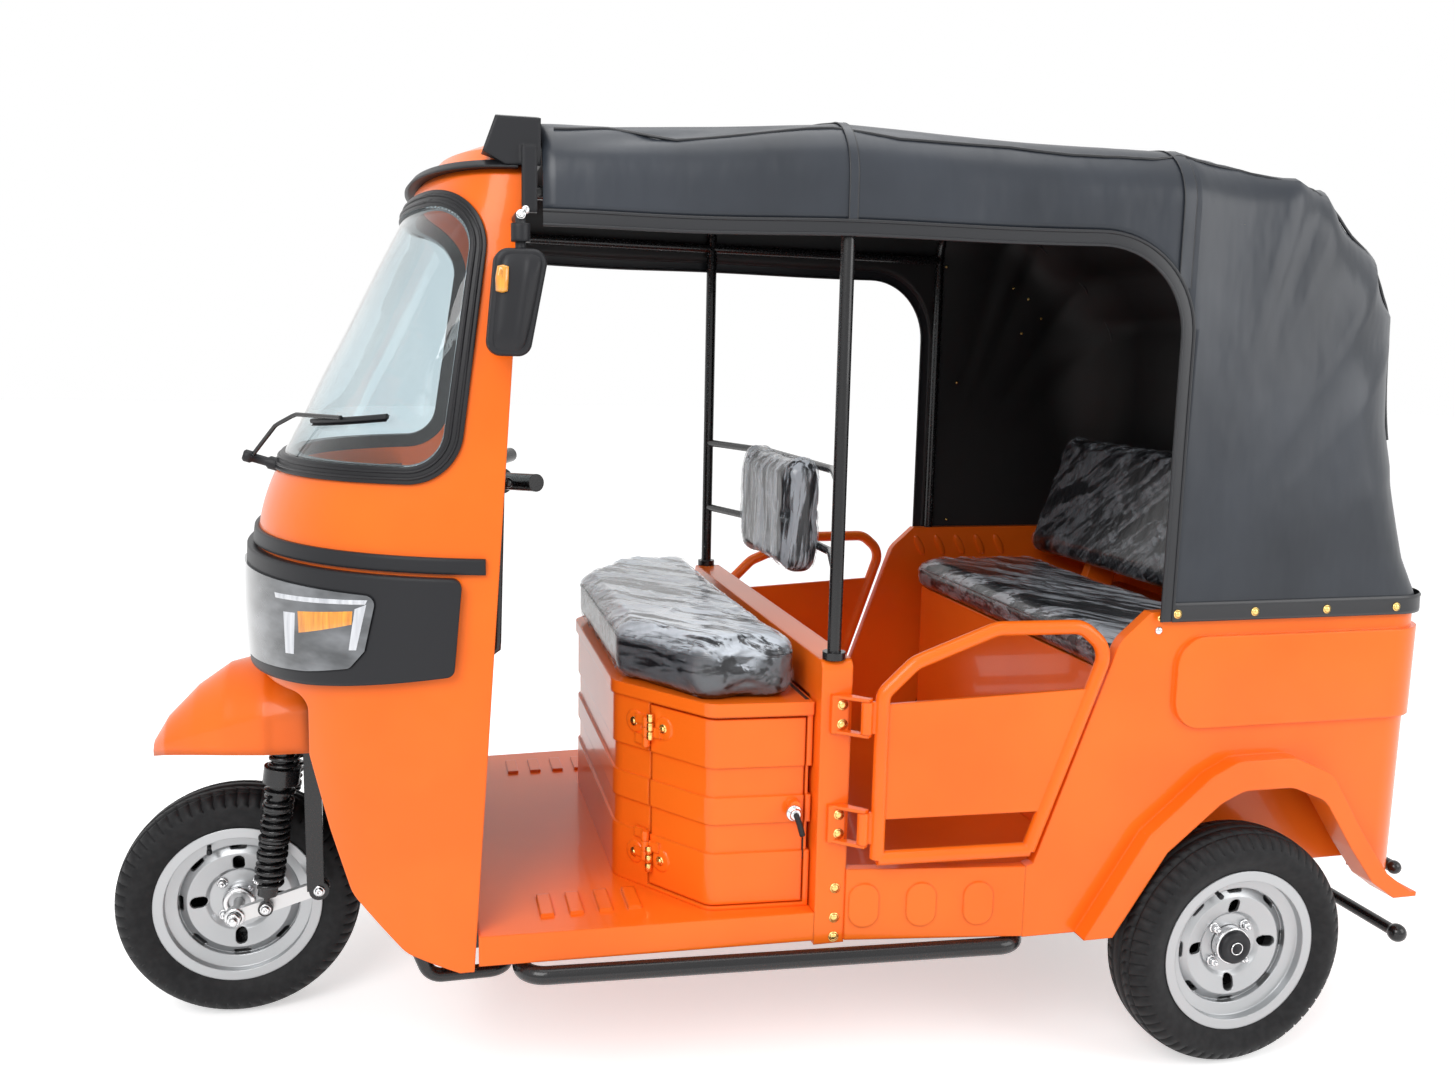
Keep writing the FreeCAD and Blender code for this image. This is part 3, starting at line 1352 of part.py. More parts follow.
def locker_barrels():
    """Heights of the fixed and moving barrels of both locker hinges."""
    part = size.box_hinge_length / 3
    gap = size.running_gap
    fixed = []
    moving = []
    for low in (size.box_hinge_low, size.box_hinge_high):
        fixed += [(low, part - gap), (low + part * 2 + gap, part - gap)]
        moving.append((low + part, part))
    return fixed, moving


def seat_box():
    """Battery locker under the driver: a folded box with a door round its left corner."""
    bends = {1: size.box_side_corner, 2: size.box_front_corner,
             3: size.box_front_corner, 4: size.box_side_corner}
    tall = size.box_top - size.floor_height
    plain = slab("box_plain", "XY", seat_box_outline(ZERO), size.floor_height, tall, bends)
    lid = slab("box_lid", "XY", lid_outline(), size.box_top - size.lid_tall, size.lid_tall,
               bends)
    belts = [belt_tool("box_belt" + str(index), size.belt_low + size.belt_pitch * index, bends)
             for index in range(2)]
    outer = cut("box_outer", fuse("box_pressing", [plain, lid]), fuse("box_belts", belts))
    inner_bends = {index: bend - size.box_skin for index, bend in bends.items()}
    hollow = slab("box_hollow", "XY", seat_box_outline(size.box_skin),
                  size.floor_height + size.box_skin, tall - size.box_skin * 2, inner_bends)
    shell = cut("box_shell", outer, hollow)
    locker = cut("box_with_opening", shell, locker_door_zone("box_door_opening", ZERO))
    axis = locker_spot(size.box_hinge_standoff, ZERO)
    pieces = [locker]
    fixed, moving = locker_barrels()
    for index, (low, length) in enumerate(fixed):
        pieces.append(locker_hinge("box_hinge_fixed" + str(index), low, -1, length,
                                   size.box_hinge_bite))
    for index, low in enumerate((size.box_hinge_low, size.box_hinge_high)):
        pieces.append(rod("box_hinge_pin" + str(index), "z", axis[0], axis[1], low,
                          size.box_hinge_pin, size.box_hinge_length))
    keep(fuse("seat_box_whole", pieces), "seat_box")

    leaf = common("box_door_leaf", [cut("box_door_ring", outer, hollow),
                                    locker_door_zone("box_door_solid", size.box_door_gap)])
    leaves = [leaf]
    for index, (low, length) in enumerate(moving):
        leaves.append(locker_hinge("box_hinge_moving" + str(index), low, 1, length,
                                   size.box_hinge_bite))
    lock = rod("box_lock", "y", size.lock_x, size.box_rear_half - size.box_skin,
               size.lock_height, size.lock_radius, size.box_skin + size.lock_length)
    bore = rod("box_hinge_bore", "z", axis[0], axis[1], size.floor_height,
               size.box_hinge_pin + size.running_gap, tall)
    door = cut("box_door_bored", fuse("box_door_whole", leaves + [lock]), bore)
    keep(door, "seat_box_door")


def battery_pack():
    width = size.battery_width
    keep(block("battery", size.battery_rear, -width / 2, size.floor_height + size.box_skin,
               size.battery_length, width, size.battery_height), "battery_pack")


def cushion(label, plane, start, corners, depth, corner_radii, edge_round):
    """A padded cushion: an outline with rounded corners and rolled edges."""
    body = new_body(label)
    sketch = body_sketch(body, label + "_outline", plane, start)
    draw_outline(sketch, corners, corner_radii)
    block_pad = pad(body, sketch, depth)
    round_edges(body, block_pad, lambda edge: edge.Length > 0, edge_round)
    return body


def driver_seat():
    corners = mirrored([
        (size.seat_rear, size.seat_half), (size.seat_side_front, size.seat_half),
        (size.seat_front, size.seat_front_half),
    ])
    bends = {index: size.seat_corner for index in range(1, 5)}
    bends.update({0: size.seat_rear_corner, 5: size.seat_rear_corner})
    body = cushion("driver_seat", "XY", size.box_top + size.running_gap, corners,
                   size.seat_thick, bends, size.seat_edge)
    keep(body, "driver_seat")


def driver_backrest():
    front = size.post_x + size.rest_bar_bow - size.rest_bar_radius - size.running_gap
    corners = [
        (-size.rest_half, size.rest_low), (size.rest_half, size.rest_low),
        (size.rest_half, size.rest_high), (-size.rest_half, size.rest_high),
    ]
    bends = {index: size.rest_corner for index in range(4)}
    body = cushion("driver_backrest", "YZ", -front, corners, size.rest_thick, bends,
                   size.rest_round)
    keep(body, "driver_backrest")


def back_rails():
    """Two bars between the posts, bowed rearward to carry the driver's backrest."""
    rails = []
    reach = size.post_half
    for name, height in (("high", size.rest_bar_high), ("low", size.rest_bar_low)):
        corners = [
            (-size.post_x, -reach), (-size.post_x - size.rest_bar_bow, -size.rest_bar_knee),
            (-size.post_x - size.rest_bar_bow, size.rest_bar_knee), (-size.post_x, reach),
        ]
        bends = {1: size.rest_bar_bow, 2: size.rest_bar_bow}
        rails.append(pipe_body("rest_bar_" + name, "XY", height, corners, bends,
                               size.rest_bar_radius))
    posts = [rod("rest_bar_cut_" + name, "z", -size.post_x, y, size.wall_top,
                 size.post_radius + size.running_gap, size.rail_height - size.wall_top)
             for name, y in (("left", size.post_half), ("right", -size.post_half))]
    beyond = [block("rest_bar_end_" + name, -size.wall_rear * 2, y, size.wall_top,
                    size.wall_rear * 4, size.post_radius * 2, size.rail_height - size.wall_top)
              for name, y in (("left", size.post_half),
                              ("right", -size.post_half - size.post_radius * 2))]
    pair = fuse("rest_bar_pair", rails)
    keep(cut("rest_bars", pair, fuse("rest_bar_cuts", posts + beyond)), "back_rails")


def canopy_frame():
    """Posts, hoops and side rails that carry the canopy, each tube a solid of its own."""
    rail_z = float(size.rail_height)
    post_x = -float(size.post_x)
    rear_x = -float(size.hoop_rear_x)
    gap = float(size.running_gap)
    inset = float(size.hood_skin + size.rail_radius + size.hoop_gap)
    post_half = float(size.post_half)
    rear_half = float(size.hood_rear_half) - inset
    front_half = float(size.rail_front_half)
    leg_z = rail_z - float(size.post_radius)
    hoops = [hoop_shape(x, half, leg_z, float(top - size.hood_crown) - inset)
             for x, half, top in ((float(size.rail_front), front_half, size.hood_front_top),
                                  (post_x, post_half, size.hood_post_top),
                                  (rear_x, rear_half, size.hood_quarter_top))]
    keep(freeform("canopy_hoops", Part.makeCompound(hoops)), "canopy_hoops")
    cowl_x = cowl_rear_at(rail_z + float(size.rail_radius)) - gap
    posts = []
    rails = []
    for side in (1, -1):
        foot = Vector(post_x, side * post_half, float(size.wall_top))
        post = rod_shape(foot, Vector(foot.x, foot.y, leg_z - gap), size.post_radius)
        flange = Part.makeCylinder(float(size.post_foot_radius), float(size.post_foot_height),
                                   foot)
        posts.append(post.fuse(flange))
        rear_foot = Vector(rear_x, side * rear_half, float(size.hood_post_foot))
        posts.append(rod_shape(rear_foot, Vector(rear_x, rear_foot.y, leg_z - gap),
                               size.rail_radius))
        line = [Vector(cowl_x, side * front_half, rail_z),
                Vector(float(size.rail_front), side * front_half, rail_z),
                Vector(post_x, foot.y, rail_z), Vector(rear_x, rear_foot.y, rail_z)]
        for start, end in zip(line, line[1:]):
            rails.append(rail_between(start, end, gap))
    keep(freeform("canopy_posts", Part.makeCompound(posts + rails)), "canopy_posts")


def rail_between(start, end, gap):
    """A straight tube that stops just short of the upright tubes at its ends."""
    rail = rod_shape(start, end, size.rail_radius)
    reach = float(size.rail_height) / 2
    for spot in (start, end):
        if spot.x < float(size.rail_front) + gap:
            upright = Part.makeCylinder(float(size.rail_radius) + gap, reach,
                                        Vector(spot.x, spot.y, spot.z - reach / 2))
            rail = rail.cut(upright)
    return rail


def hoop_shape(x, half, height, top):
    """A roof bow: a bent tube that follows the canopy's inside from rail to rail."""
    bend = size.hood_shoulder - size.rail_radius - size.hoop_gap
    points = [Vector(x, -half, height), Vector(x, -half, top), Vector(x, half, top),
              Vector(x, half, height)]
    return tube_shape(points, bend, size.rail_radius)


def hood_wire(x, half, top, low, crown, shoulder):
    """One cross-section of the canopy: straight sides, round shoulders, a low crown."""
    side = top - crown - shoulder
    inner = half - shoulder
    bulge = shoulder * (1 - math.sqrt(0.5))
    edges = [
        Part.LineSegment(Vector(x, -half, low), Vector(x, half, low)).toShape(),
        Part.LineSegment(Vector(x, half, low), Vector(x, half, side)).toShape(),
        Part.Arc(Vector(x, half, side), Vector(x, half - bulge, side + shoulder - bulge),
                 Vector(x, inner, side + shoulder)).toShape(),
        Part.Arc(Vector(x, inner, side + shoulder), Vector(x, 0, top),
                 Vector(x, -inner, side + shoulder)).toShape(),
        Part.Arc(Vector(x, -inner, side + shoulder),
                 Vector(x, -half + bulge, side + shoulder - bulge),
                 Vector(x, -half, side)).toShape(),
        Part.LineSegment(Vector(x, -half, side), Vector(x, -half, low)).toShape(),
    ]
    return Part.Wire(edges)


# Plan sections of the canopy's rear from the top down: height between the hem and the
# highest section, rear edge between the rear hoop and the hem's rear, and corner radius.
HOOD_BACK_SHARES = [
    (1.0000, 0.000, 0.40), (0.9558, 0.016, 0.40), (0.9208, 0.073, 0.45),
    (0.8827, 0.352, 0.65), (0.8683, 0.527, 0.75), (0.8035, 0.638, 0.85),
    (0.7572, 0.755, 0.95), (0.6944, 0.823, 1.00), (0.6245, 0.890, 1.00),
    (0.5628, 0.874, 1.00), (0.3951, 0.889, 0.95), (0.2675, 0.902, 0.80),
    (0.1132, 0.938, 0.575), (0.0195, 1.000, 0.4915),
]


def hood_plan(height, rear, half, corner):
    """A plan section of the canopy: straight sides and round rear corners."""
    front = float(size.hood_front + size.overrun * 2)
    spots = [Vector(front, half, height), Vector(rear, half, height),
             Vector(rear, -half, height), Vector(front, -half, height)]
    return rounded_wire(spots, {1: corner, 2: corner})


def hood_back_solid(inset):
    """The space inside the canopy's rear, lofted up through its plan sections."""
    hem_rear = size.tub_rear + size.hood_skin + size.running_gap
    half = float(size.hood_rear_half + size.hood_ease) - inset
    foot = float(size.hood_low) - float(size.overrun) * 2
    sections = [
        (shares_between(size.hood_low, size.hood_back_top, up),
         inset - shares_between(size.hoop_rear_x, hem_rear, back),
         float(size.hood_corner) * turn - inset)
        for up, back, turn in HOOD_BACK_SHARES]
    sections.append((foot,) + sections[-1][1:])
    wires = [hood_plan(height, rear, half, corner) for height, rear, corner in sections]
    return Part.makeLoft(wires, True, True)


def hood_solid(inset):
    """The space the canopy encloses: arches along it, shaped behind by plan sections."""
    spare = float(size.overrun) if inset else 0.0
    low = float(size.hood_low) - spare
    stations = [
        (float(size.hood_front) + spare, size.hood_front_half, size.hood_front_top),
        (-float(size.post_x), size.hood_post_half, size.hood_post_top),
        (-float(size.hoop_rear_x), size.hood_rear_half, size.hood_quarter_top),
        (-float(size.overall_length) / 2, size.hood_rear_half, size.hood_quarter_top),
    ]
    wires = [hood_wire(x, float(half) - inset, float(top) - inset, low,
                       float(size.hood_crown), float(size.hood_shoulder))
             for x, half, top in stations]
    return Part.makeLoft(wires, True, True).common(hood_back_solid(inset))


def canopy():
    """The vinyl hood: a skin over the hoops with the passenger openings left and right."""
    shell = hood_solid(0.0).cut(hood_solid(float(size.hood_skin)))
    reach = size.hood_front + size.overrun * 2
    opening = side_prism([
        (-size.hood_side_x, size.hood_low - size.overrun),
        (reach, size.hood_low - size.overrun),
        (reach, size.hood_valance),
        (-size.hood_side_x, size.hood_valance),
    ], float(size.side_reach), {3: size.hood_side_corner})
    tub = Part.Face(tub_wire(-float(size.running_gap))).extrude(
        Vector(0, 0, float(size.tub_top - size.tub_low + size.running_gap)))
    keep(freeform("canopy", shell.cut(opening).cut(tub)), "canopy")


# Rear body


def tub_wire(inset):
    """Plan outline of the rear body, open to the front, shrunk by an inset."""
    half = float(size.tub_half) - inset
    front_half = float(size.tub_front_half) - inset
    rear = -float(size.tub_rear) + inset
    low = float(size.tub_low)
    front = -float(size.tub_front) + (float(size.overrun) if inset > 0 else 0.0)
    bend = float(size.tub_corner) - inset
    spots = [Vector(front, front_half, low), Vector(-float(size.tub_full_x), half, low),
             Vector(rear, half, low), Vector(rear, -half, low),
             Vector(-float(size.tub_full_x), -half, low), Vector(front, -front_half, low)]
    return rounded_wire(spots, {2: bend, 3: bend})


# How far the flare reaches behind the arch, as a share of its width.
FLARE_REAR_SHARE = 0.7


def wheel_cut_corners(grow):
    """The rear wheel arch in side view, grown outward for its flared lip."""
    front = -float(size.wheel_cut_front) + grow
    rear = -float(size.wheel_cut_rear) - grow * FLARE_REAR_SHARE
    top = float(size.wheel_cut_top) + grow
    low = float(size.wheel_cut_low) - float(size.overrun)
    span = front - rear
    tall = top - low
    return [(front - span * across, low + tall * up) for across, up in ARCH_SHARES]


# Wheel arch outline: shares of its length from the front foot, and of its height.
ARCH_SHARES = [
    (0.00, 0.00), (0.185, 0.62), (0.355, 0.925), (0.43, 1.00), (0.597, 1.00),
    (0.718, 0.89), (0.825, 0.54), (0.917, 0.275), (1.00, 0.15), (1.20, 0.15), (1.20, 0.00),
]


def arch_cutter(grow, half, start):
    spots = [Vector(x, start, z) for x, z in wheel_cut_corners(grow)]
    bend = float(size.slant_corner)
    wire = rounded_wire(spots, {2: bend, 3: bend, 4: bend, 5: bend})
    return Part.Face(wire).extrude(Vector(0, half, 0))


def tub_shell():
    """The rear body's wall, cut to its slanted front edge and wheel arches."""
    tall = float(size.tub_top - size.tub_low)
    outer = Part.Face(tub_wire(0.0)).extrude(Vector(0, 0, tall))
    inner = Part.Face(tub_wire(float(size.tub_wall))).extrude(Vector(0, 0, tall))
    shell = outer.cut(inner)
    far = -size.tub_front + size.overrun * 2
    high = size.tub_top + size.overrun
    front_cut = side_prism([
        (-size.tub_front, size.sill_top), (far, size.sill_top), (far, high),
        (-size.slant_top_x, high), (-size.slant_top_x, size.tub_top),
        (-size.slant_high_x, size.slant_high_z), (-size.slant_low_x, size.slant_low_z),
    ], float(size.side_reach), {5: size.slant_corner})
    shell = shell.cut(front_cut)
    reach = float(size.side_reach)
    return shell.cut(arch_cutter(0.0, reach * 2, -reach))


def flare(side):
    """The lip that stands out round a wheel arch."""
    start = float(size.tub_half) - float(size.flare_proud)
    proud = float(size.flare_proud) * 2
    band = arch_cutter(float(size.flare_width), proud, start if side > 0 else -start - proud)
    hole = arch_cutter(0.0, proud * 2, (start if side > 0 else -start - proud) - proud / 2)
    limit = Part.makeBox(float(size.tub_rear - size.tub_front), float(size.overall_length),
                         float(size.tub_top - size.tub_low),
                         Vector(-float(size.tub_rear), -float(size.overall_length) / 2,
                                float(size.tub_low)))
    return band.cut(hole).common(limit)


def swage_belt():
    """The proud belt pressed along each quarter and round its rear corner."""
    tall = Vector(0, 0, float(size.swage_high - size.swage_low))
    ring = Part.Face(tub_wire(-float(size.swage_depth))).extrude(tall)
    ring = ring.cut(Part.Face(tub_wire(0.0)).extrude(tall))
    ring.translate(Vector(0, 0, float(size.swage_low - size.tub_low)))
    far = size.overall_length / 2
    zone = side_prism([
        (-far, size.swage_low), (-size.swage_front, size.swage_low),
        (-size.swage_front, size.swage_high), (-far, size.swage_high),
    ], float(size.side_reach), {1: size.swage_corner, 2: size.swage_corner})
    return ring.common(zone)


def rear_body():
    """Left and right quarters with their flares, and the rear panel between them."""
    shell = tub_shell()
    belt = swage_belt()
    split = float(size.tub_split)
    far = float(size.overall_length)
    tall = float(size.tub_top) * 2
    for label, side in (("rear_quarter_left", 1), ("rear_quarter_right", -1)):
        low = split if side > 0 else -far
        zone = Part.makeBox(far, far - split, tall, Vector(-far, low, 0))
        inside = Part.Face(tub_wire(float(size.tub_wall))).extrude(Vector(0, 0, tall))
        quarter = shell.common(zone).multiFuse([flare(side).cut(inside), belt.common(zone)])
        keep(freeform(label, quarter.removeSplitter()), label)
    middle = Part.makeBox(far, split * 2, tall, Vector(-far, -split, float(size.tail_low)))
    keep(freeform("rear_panel", shell.common(middle)), "rear_panel")


def sill_block(name, out):
    """The sill's slanted wall, its face moved out by a distance."""
    corners = [
        (-size.sill_front, size.sill_front_half + out),
        (-size.tub_front, size.sill_rear_half + out),
        (-size.tub_front, size.sill_rear_half + out - size.sill_wall),
        (-size.sill_front, size.sill_front_half + out - size.sill_wall),
    ]
    return slab(name, "XY", corners, size.sill_low, size.sill_top - size.sill_low)


def sills():
    """The panels under the doors, each with three pressed ovals."""
    half = size.oval_width / 2
    low = size.oval_height - size.oval_tall / 2
    bends = {index: size.oval_corner for index in range(4)}
    ovals = []
    for index in range(3):
        middle = -size.oval_first - size.oval_pitch * index
        corners = [(middle - half, low), (middle + half, low),
                   (middle + half, low + size.oval_tall), (middle - half, low + size.oval_tall)]
        ovals.append(slab("sill_oval" + str(index), "XZ", corners,
                          size.sill_front_half - size.sill_wall,
                          size.sill_rear_half - size.sill_front_half + size.sill_wall * 2,
                          bends))
    raised = common("sill_raised", [sill_block("sill_skin", size.oval_proud),
                                    fuse("sill_ovals", ovals)])
    left = fuse("sill_left", [sill_block("sill_wall_left", ZERO), raised])
    right = mirror("sill_right", left)
    keep(group("sill_pair", [left, right]), "sill_panels")


def rear_floor():
    """The passengers' floor between the sills."""
    low = size.floor_height - size.floor_skin
    corners = mirrored([(-size.wall_rear, size.sill_front_half - size.sill_wall),
                        (-size.tub_front, size.sill_rear_half - size.sill_wall),
                        (-size.tub_front, size.rear_floor_half),
                        (-size.rear_floor_rear, size.rear_floor_half)])
    return slab("rear_floor_sheet", "XY", corners, low, size.floor_skin)


def bench_base():
    """The passengers' bench: a deck and skirts over the rear axle, with backrest brackets."""
    skin = size.bench_skin
    tall = size.bench_top - size.bench_low
    length = size.bench_rear - size.bench_front
    width = size.bench_half * 2
    deck = block("bench_deck", -size.bench_rear, -size.bench_half, size.bench_top - skin,
                 length, width, skin)
    front = block("bench_face", -size.bench_front - skin, -size.bench_half, size.bench_low,
                  skin, width, tall)
    pieces = [deck, front]
    for name, y in (("left", size.bench_half - skin), ("right", -size.bench_half)):
        pieces.append(block("bench_side_" + name, -size.bench_rear, y, size.bench_low,
                            length, skin, tall))
    rise = size.bench_bracket_top - size.bench_top
    slope = float(size.bench_back_lean) / float(size.bench_back_high - size.bench_back_low)
    foot = -size.bench_back_foot + (size.bench_back_low - size.bench_top) * slope
    foot = foot - size.running_gap * 2
    corners = [
        (foot, size.bench_top - skin), (foot - size.bench_bracket_foot, size.bench_top - skin),
        (foot - rise * slope - size.bench_bracket_head, size.bench_bracket_top),
        (foot - rise * slope, size.bench_bracket_top), (foot, size.bench_top),
    ]
    for name, y in (("left", size.bench_bracket_half),
                    ("right", -size.bench_bracket_half - size.bench_bracket_width)):
        pieces.append(slab("bench_bracket_" + name, "XZ", corners, y,
                           size.bench_bracket_width))
    keep(fuse("bench_whole", pieces), "bench_base")


def bench_cushions():
    corners = [
        (-size.bench_cushion_rear, -size.bench_cushion_half),
        (-size.bench_cushion_front, -size.bench_cushion_half),
        (-size.bench_cushion_front, size.bench_cushion_half),
        (-size.bench_cushion_rear, size.bench_cushion_half),
    ]
    bends = {index: size.bench_corner for index in range(4)}
    seat = cushion("bench_cushion", "XY", size.bench_top + size.running_gap, corners,
                   size.bench_cushion_thick, bends, size.bench_cushion_round)
    keep(seat, "bench_cushion")
    tall = size.bench_back_high - size.bench_back_low
    back_corners = [
        (-size.bench_back_half, ZERO), (size.bench_back_half, ZERO),
        (size.bench_back_half, tall), (-size.bench_back_half, tall),
    ]
    lean = math.degrees(math.atan2(float(size.bench_back_lean), float(tall)))
    back = cushion("bench_backrest", "YZ", ZERO, back_corners, size.bench_back_thick, bends,
                   size.bench_cushion_round)
    put(back, -size.bench_back_foot, ZERO, size.bench_back_low,
        Rotation(Y_AXIS, -lean))
    keep(back, "bench_backrest")


# Doors


def door_turn(side):
    drift = float(size.door_rear_half - size.door_axis_half)
    angle = math.degrees(math.atan2(drift, float(size.door_length)))
    return Rotation(Z_AXIS, -angle * side)


def door(label, side):
    """A low door: bent tube frame, sheet panel and two knuckles round the hinge pins."""
    start = -size.door_start
    corners = [
        (start, size.door_bottom), (start, size.door_front_top),
        (-size.door_start * 3, size.door_front_slope),
        (-size.door_mid_reach, size.door_mid_top), (-size.door_top_reach, size.door_mid_top),
        (-size.door_rear_reach, size.door_rear_drop),
        (-size.door_foot_reach, size.door_bottom),
    ]
    bends = {1: size.door_front_bend, 2: size.door_bend, 3: size.door_bend,
             4: size.door_rear_bend, 5: size.door_rear_bend}
    frame = pipe_body(label + "_frame", "XZ", ZERO, corners, bends, size.door_tube_radius)
    rail = rod(label + "_rail", "x", -size.door_foot_reach, ZERO, size.door_bottom,
               size.door_tube_radius, size.door_foot_reach - size.door_start)
    panel = slab(label + "_panel", "XZ", [
        (start, size.door_panel_low),
        (-size.door_foot_reach - size.door_start, size.door_panel_low),
        (-size.door_rear_reach + size.door_start, size.door_panel_top_rear),
        (start, size.door_panel_top),
    ], -size.door_panel_thick / 2, size.door_panel_thick)
    pieces = [frame, rail, panel]
    for name, low in (("low", size.knuckle_low), ("high", size.knuckle_high)):
        barrel = rod(label + "_barrel_" + name, "z", ZERO, ZERO, low,
                     size.knuckle_radius, size.knuckle_height)
        web = block(label + "_web_" + name, -size.door_start, -size.ear_plate / 2, low,
                    size.door_start, size.ear_plate, size.knuckle_height)
        pieces += [barrel, web]
    solid = fuse(label + "_solid", pieces)
    bore = rod(label + "_bore", "z", ZERO, ZERO, ZERO, size.pin_radius + size.running_gap,
               size.wall_top)
    leaf = cut(label + "_leaf", solid, bore)
    put(leaf, -size.door_axis_x, size.door_axis_half * side, ZERO, door_turn(side))
    keep(leaf, label)


def door_hinges():
    """Fixed hinge halves: a plate on each post with two ears and the pin between them."""
    pieces = []
    for side, name in ((1, "left"), (-1, "right")):
        axis_y = size.door_axis_half
        for place, low in (("low", size.knuckle_low), ("high", size.knuckle_high)):
            base = low - size.ear_thick - size.running_gap
            tall = size.knuckle_height + size.ear_thick * 2 + size.running_gap * 2
            tag = name + "_" + place
            plate = block("hinge_plate_" + tag, -size.wall_rear + size.ear_plate, size.wall_half,
                          base, size.ear_reach, size.ear_plate, tall)
            ears = []
            for end, z in (("under", base), ("over", base + tall - size.ear_thick)):
                ears.append(slab("hinge_ear_" + tag + "_" + end, "XY", [
                    (-size.wall_rear + size.ear_plate, size.wall_half),
                    (-size.wall_rear + size.ear_plate + size.ear_reach, size.wall_half),
                    (-size.door_axis_x, axis_y + size.knuckle_radius),
                    (-size.door_axis_x - size.knuckle_radius, axis_y),
                ], z, size.ear_thick))
            pin = rod("hinge_pin_" + tag, "z", -size.door_axis_x, axis_y, base,
                      size.pin_radius, tall)
            whole = fuse("hinge_" + tag, [plate, pin] + ears)
            pieces.append(whole if side > 0 else mirror("hinge_copy_" + tag, whole))
    keep(group("door_hinge_set", pieces), "door_hinges")


# Chassis


def chassis_frame():
    """Two rails kicked up over the axle, cross members, the neck and the head tube."""
    pieces = []
    length = size.rail_nose + size.rail_kick
    for side, name in ((1, "left"), (-1, "right")):
        y = size.rail_half * side - size.rail_width / 2
        pieces.append(block("rail_" + name, -size.rail_kick, y, size.rail_low, length,
                            size.rail_width, size.rail_tall))
        pieces.append(block("kick_" + name, -size.rail_kick - size.rail_width, y, size.rail_low,
                            size.rail_width, size.rail_width,
                            size.rail_kick_low + size.rail_tall - size.rail_low))
        pieces.append(block("tail_rail_" + name, -size.rail_end, y, size.rail_kick_low,
                            size.rail_end - size.rail_kick, size.rail_width, size.rail_tall))
    across = size.rail_half * 2
    for name, x, z in (("nose", size.rail_nose - size.cross_width, size.rail_low),
                       ("post", -size.wall_rear, size.rail_low),
                       ("kick", -size.rail_kick - size.rail_width, size.rail_kick_low),
                       ("tail", -size.rail_end, size.rail_kick_low)):
        pieces.append(block("cross_" + name, x, -size.rail_half, z, size.cross_width, across,
                            size.rail_tall))
    beam_half = size.rear_damper_half + size.damper_radius
    pieces.append(block("damper_beam", REAR_AXLE_X - size.rail_width / 2, -beam_half,
                        size.rail_kick_low + size.rail_tall, size.rail_width, beam_half * 2,
                        size.cross_width))
    frame = fuse("ladder_frame", pieces)
    head_mid = float(size.crown_height + size.neck_top_rise)
    way = steer_way()
    head_low = steer_point(float(size.crown_height)) + way * float(size.running_gap)
    head_high = head_low + way * float(size.head_tube_length)
    neck = rod_shape(Vector(float(size.rail_nose) - float(size.cross_width) / 2, 0,
                            float(size.rail_low) + float(size.rail_tall) / 2),
                     steer_point(head_mid), size.neck_width / 2)
    head = rod_shape(head_low, head_high, size.head_tube_radius)
    bore = rod_shape(head_low - way * float(size.overrun), head_high + way * float(size.overrun),
                     size.stem_radius + size.running_gap)
    neck_piece = freeform("neck", neck.fuse(head).cut(bore))
    keep(fuse("frame_whole", [frame, neck_piece] + side_tubes()), "chassis_frame")


def side_tubes():
    """The bent tube under each side of the cowl, run in to the chassis rail."""
    tubes = []
    for side, name in ((1, "left"), (-1, "right")):
        half = side * float(size.side_tube_half)
        low = float(size.side_tube_height)
        rear = float(size.side_tube_rear)
        points = [
            Vector(float(size.side_tube_front), half, float(size.side_tube_top)),
            Vector(float(size.side_tube_knee), half, low), Vector(rear, half, low),
            Vector(rear, side * float(size.rail_half), low),
        ]
        tube = tube_shape(points, size.side_tube_bend, size.side_tube_radius)
        tubes.append(freeform("side_tube_" + name, tube))
    return tubes


def side_steps():
    """The foot rail under each side, its ends turned in to the chassis rails."""
    pieces = []
    for side, name in ((1, "left"), (-1, "right")):
        rail = float(size.rail_half + size.rail_width / 2)
        points = [
            Vector(float(size.step_front), side * rail, float(size.step_height)),
            Vector(float(size.step_front), side * float(size.step_front_half),
                   float(size.step_height)),
            Vector(-float(size.step_rear), side * float(size.step_rear_half),
                   float(size.step_height)),
            Vector(-float(size.step_rear), side * rail, float(size.step_height)),
        ]
        pieces.append(tube_shape(points, size.step_bend, size.step_radius))
    keep(freeform("side_steps", Part.makeCompound(pieces)), "side_steps")


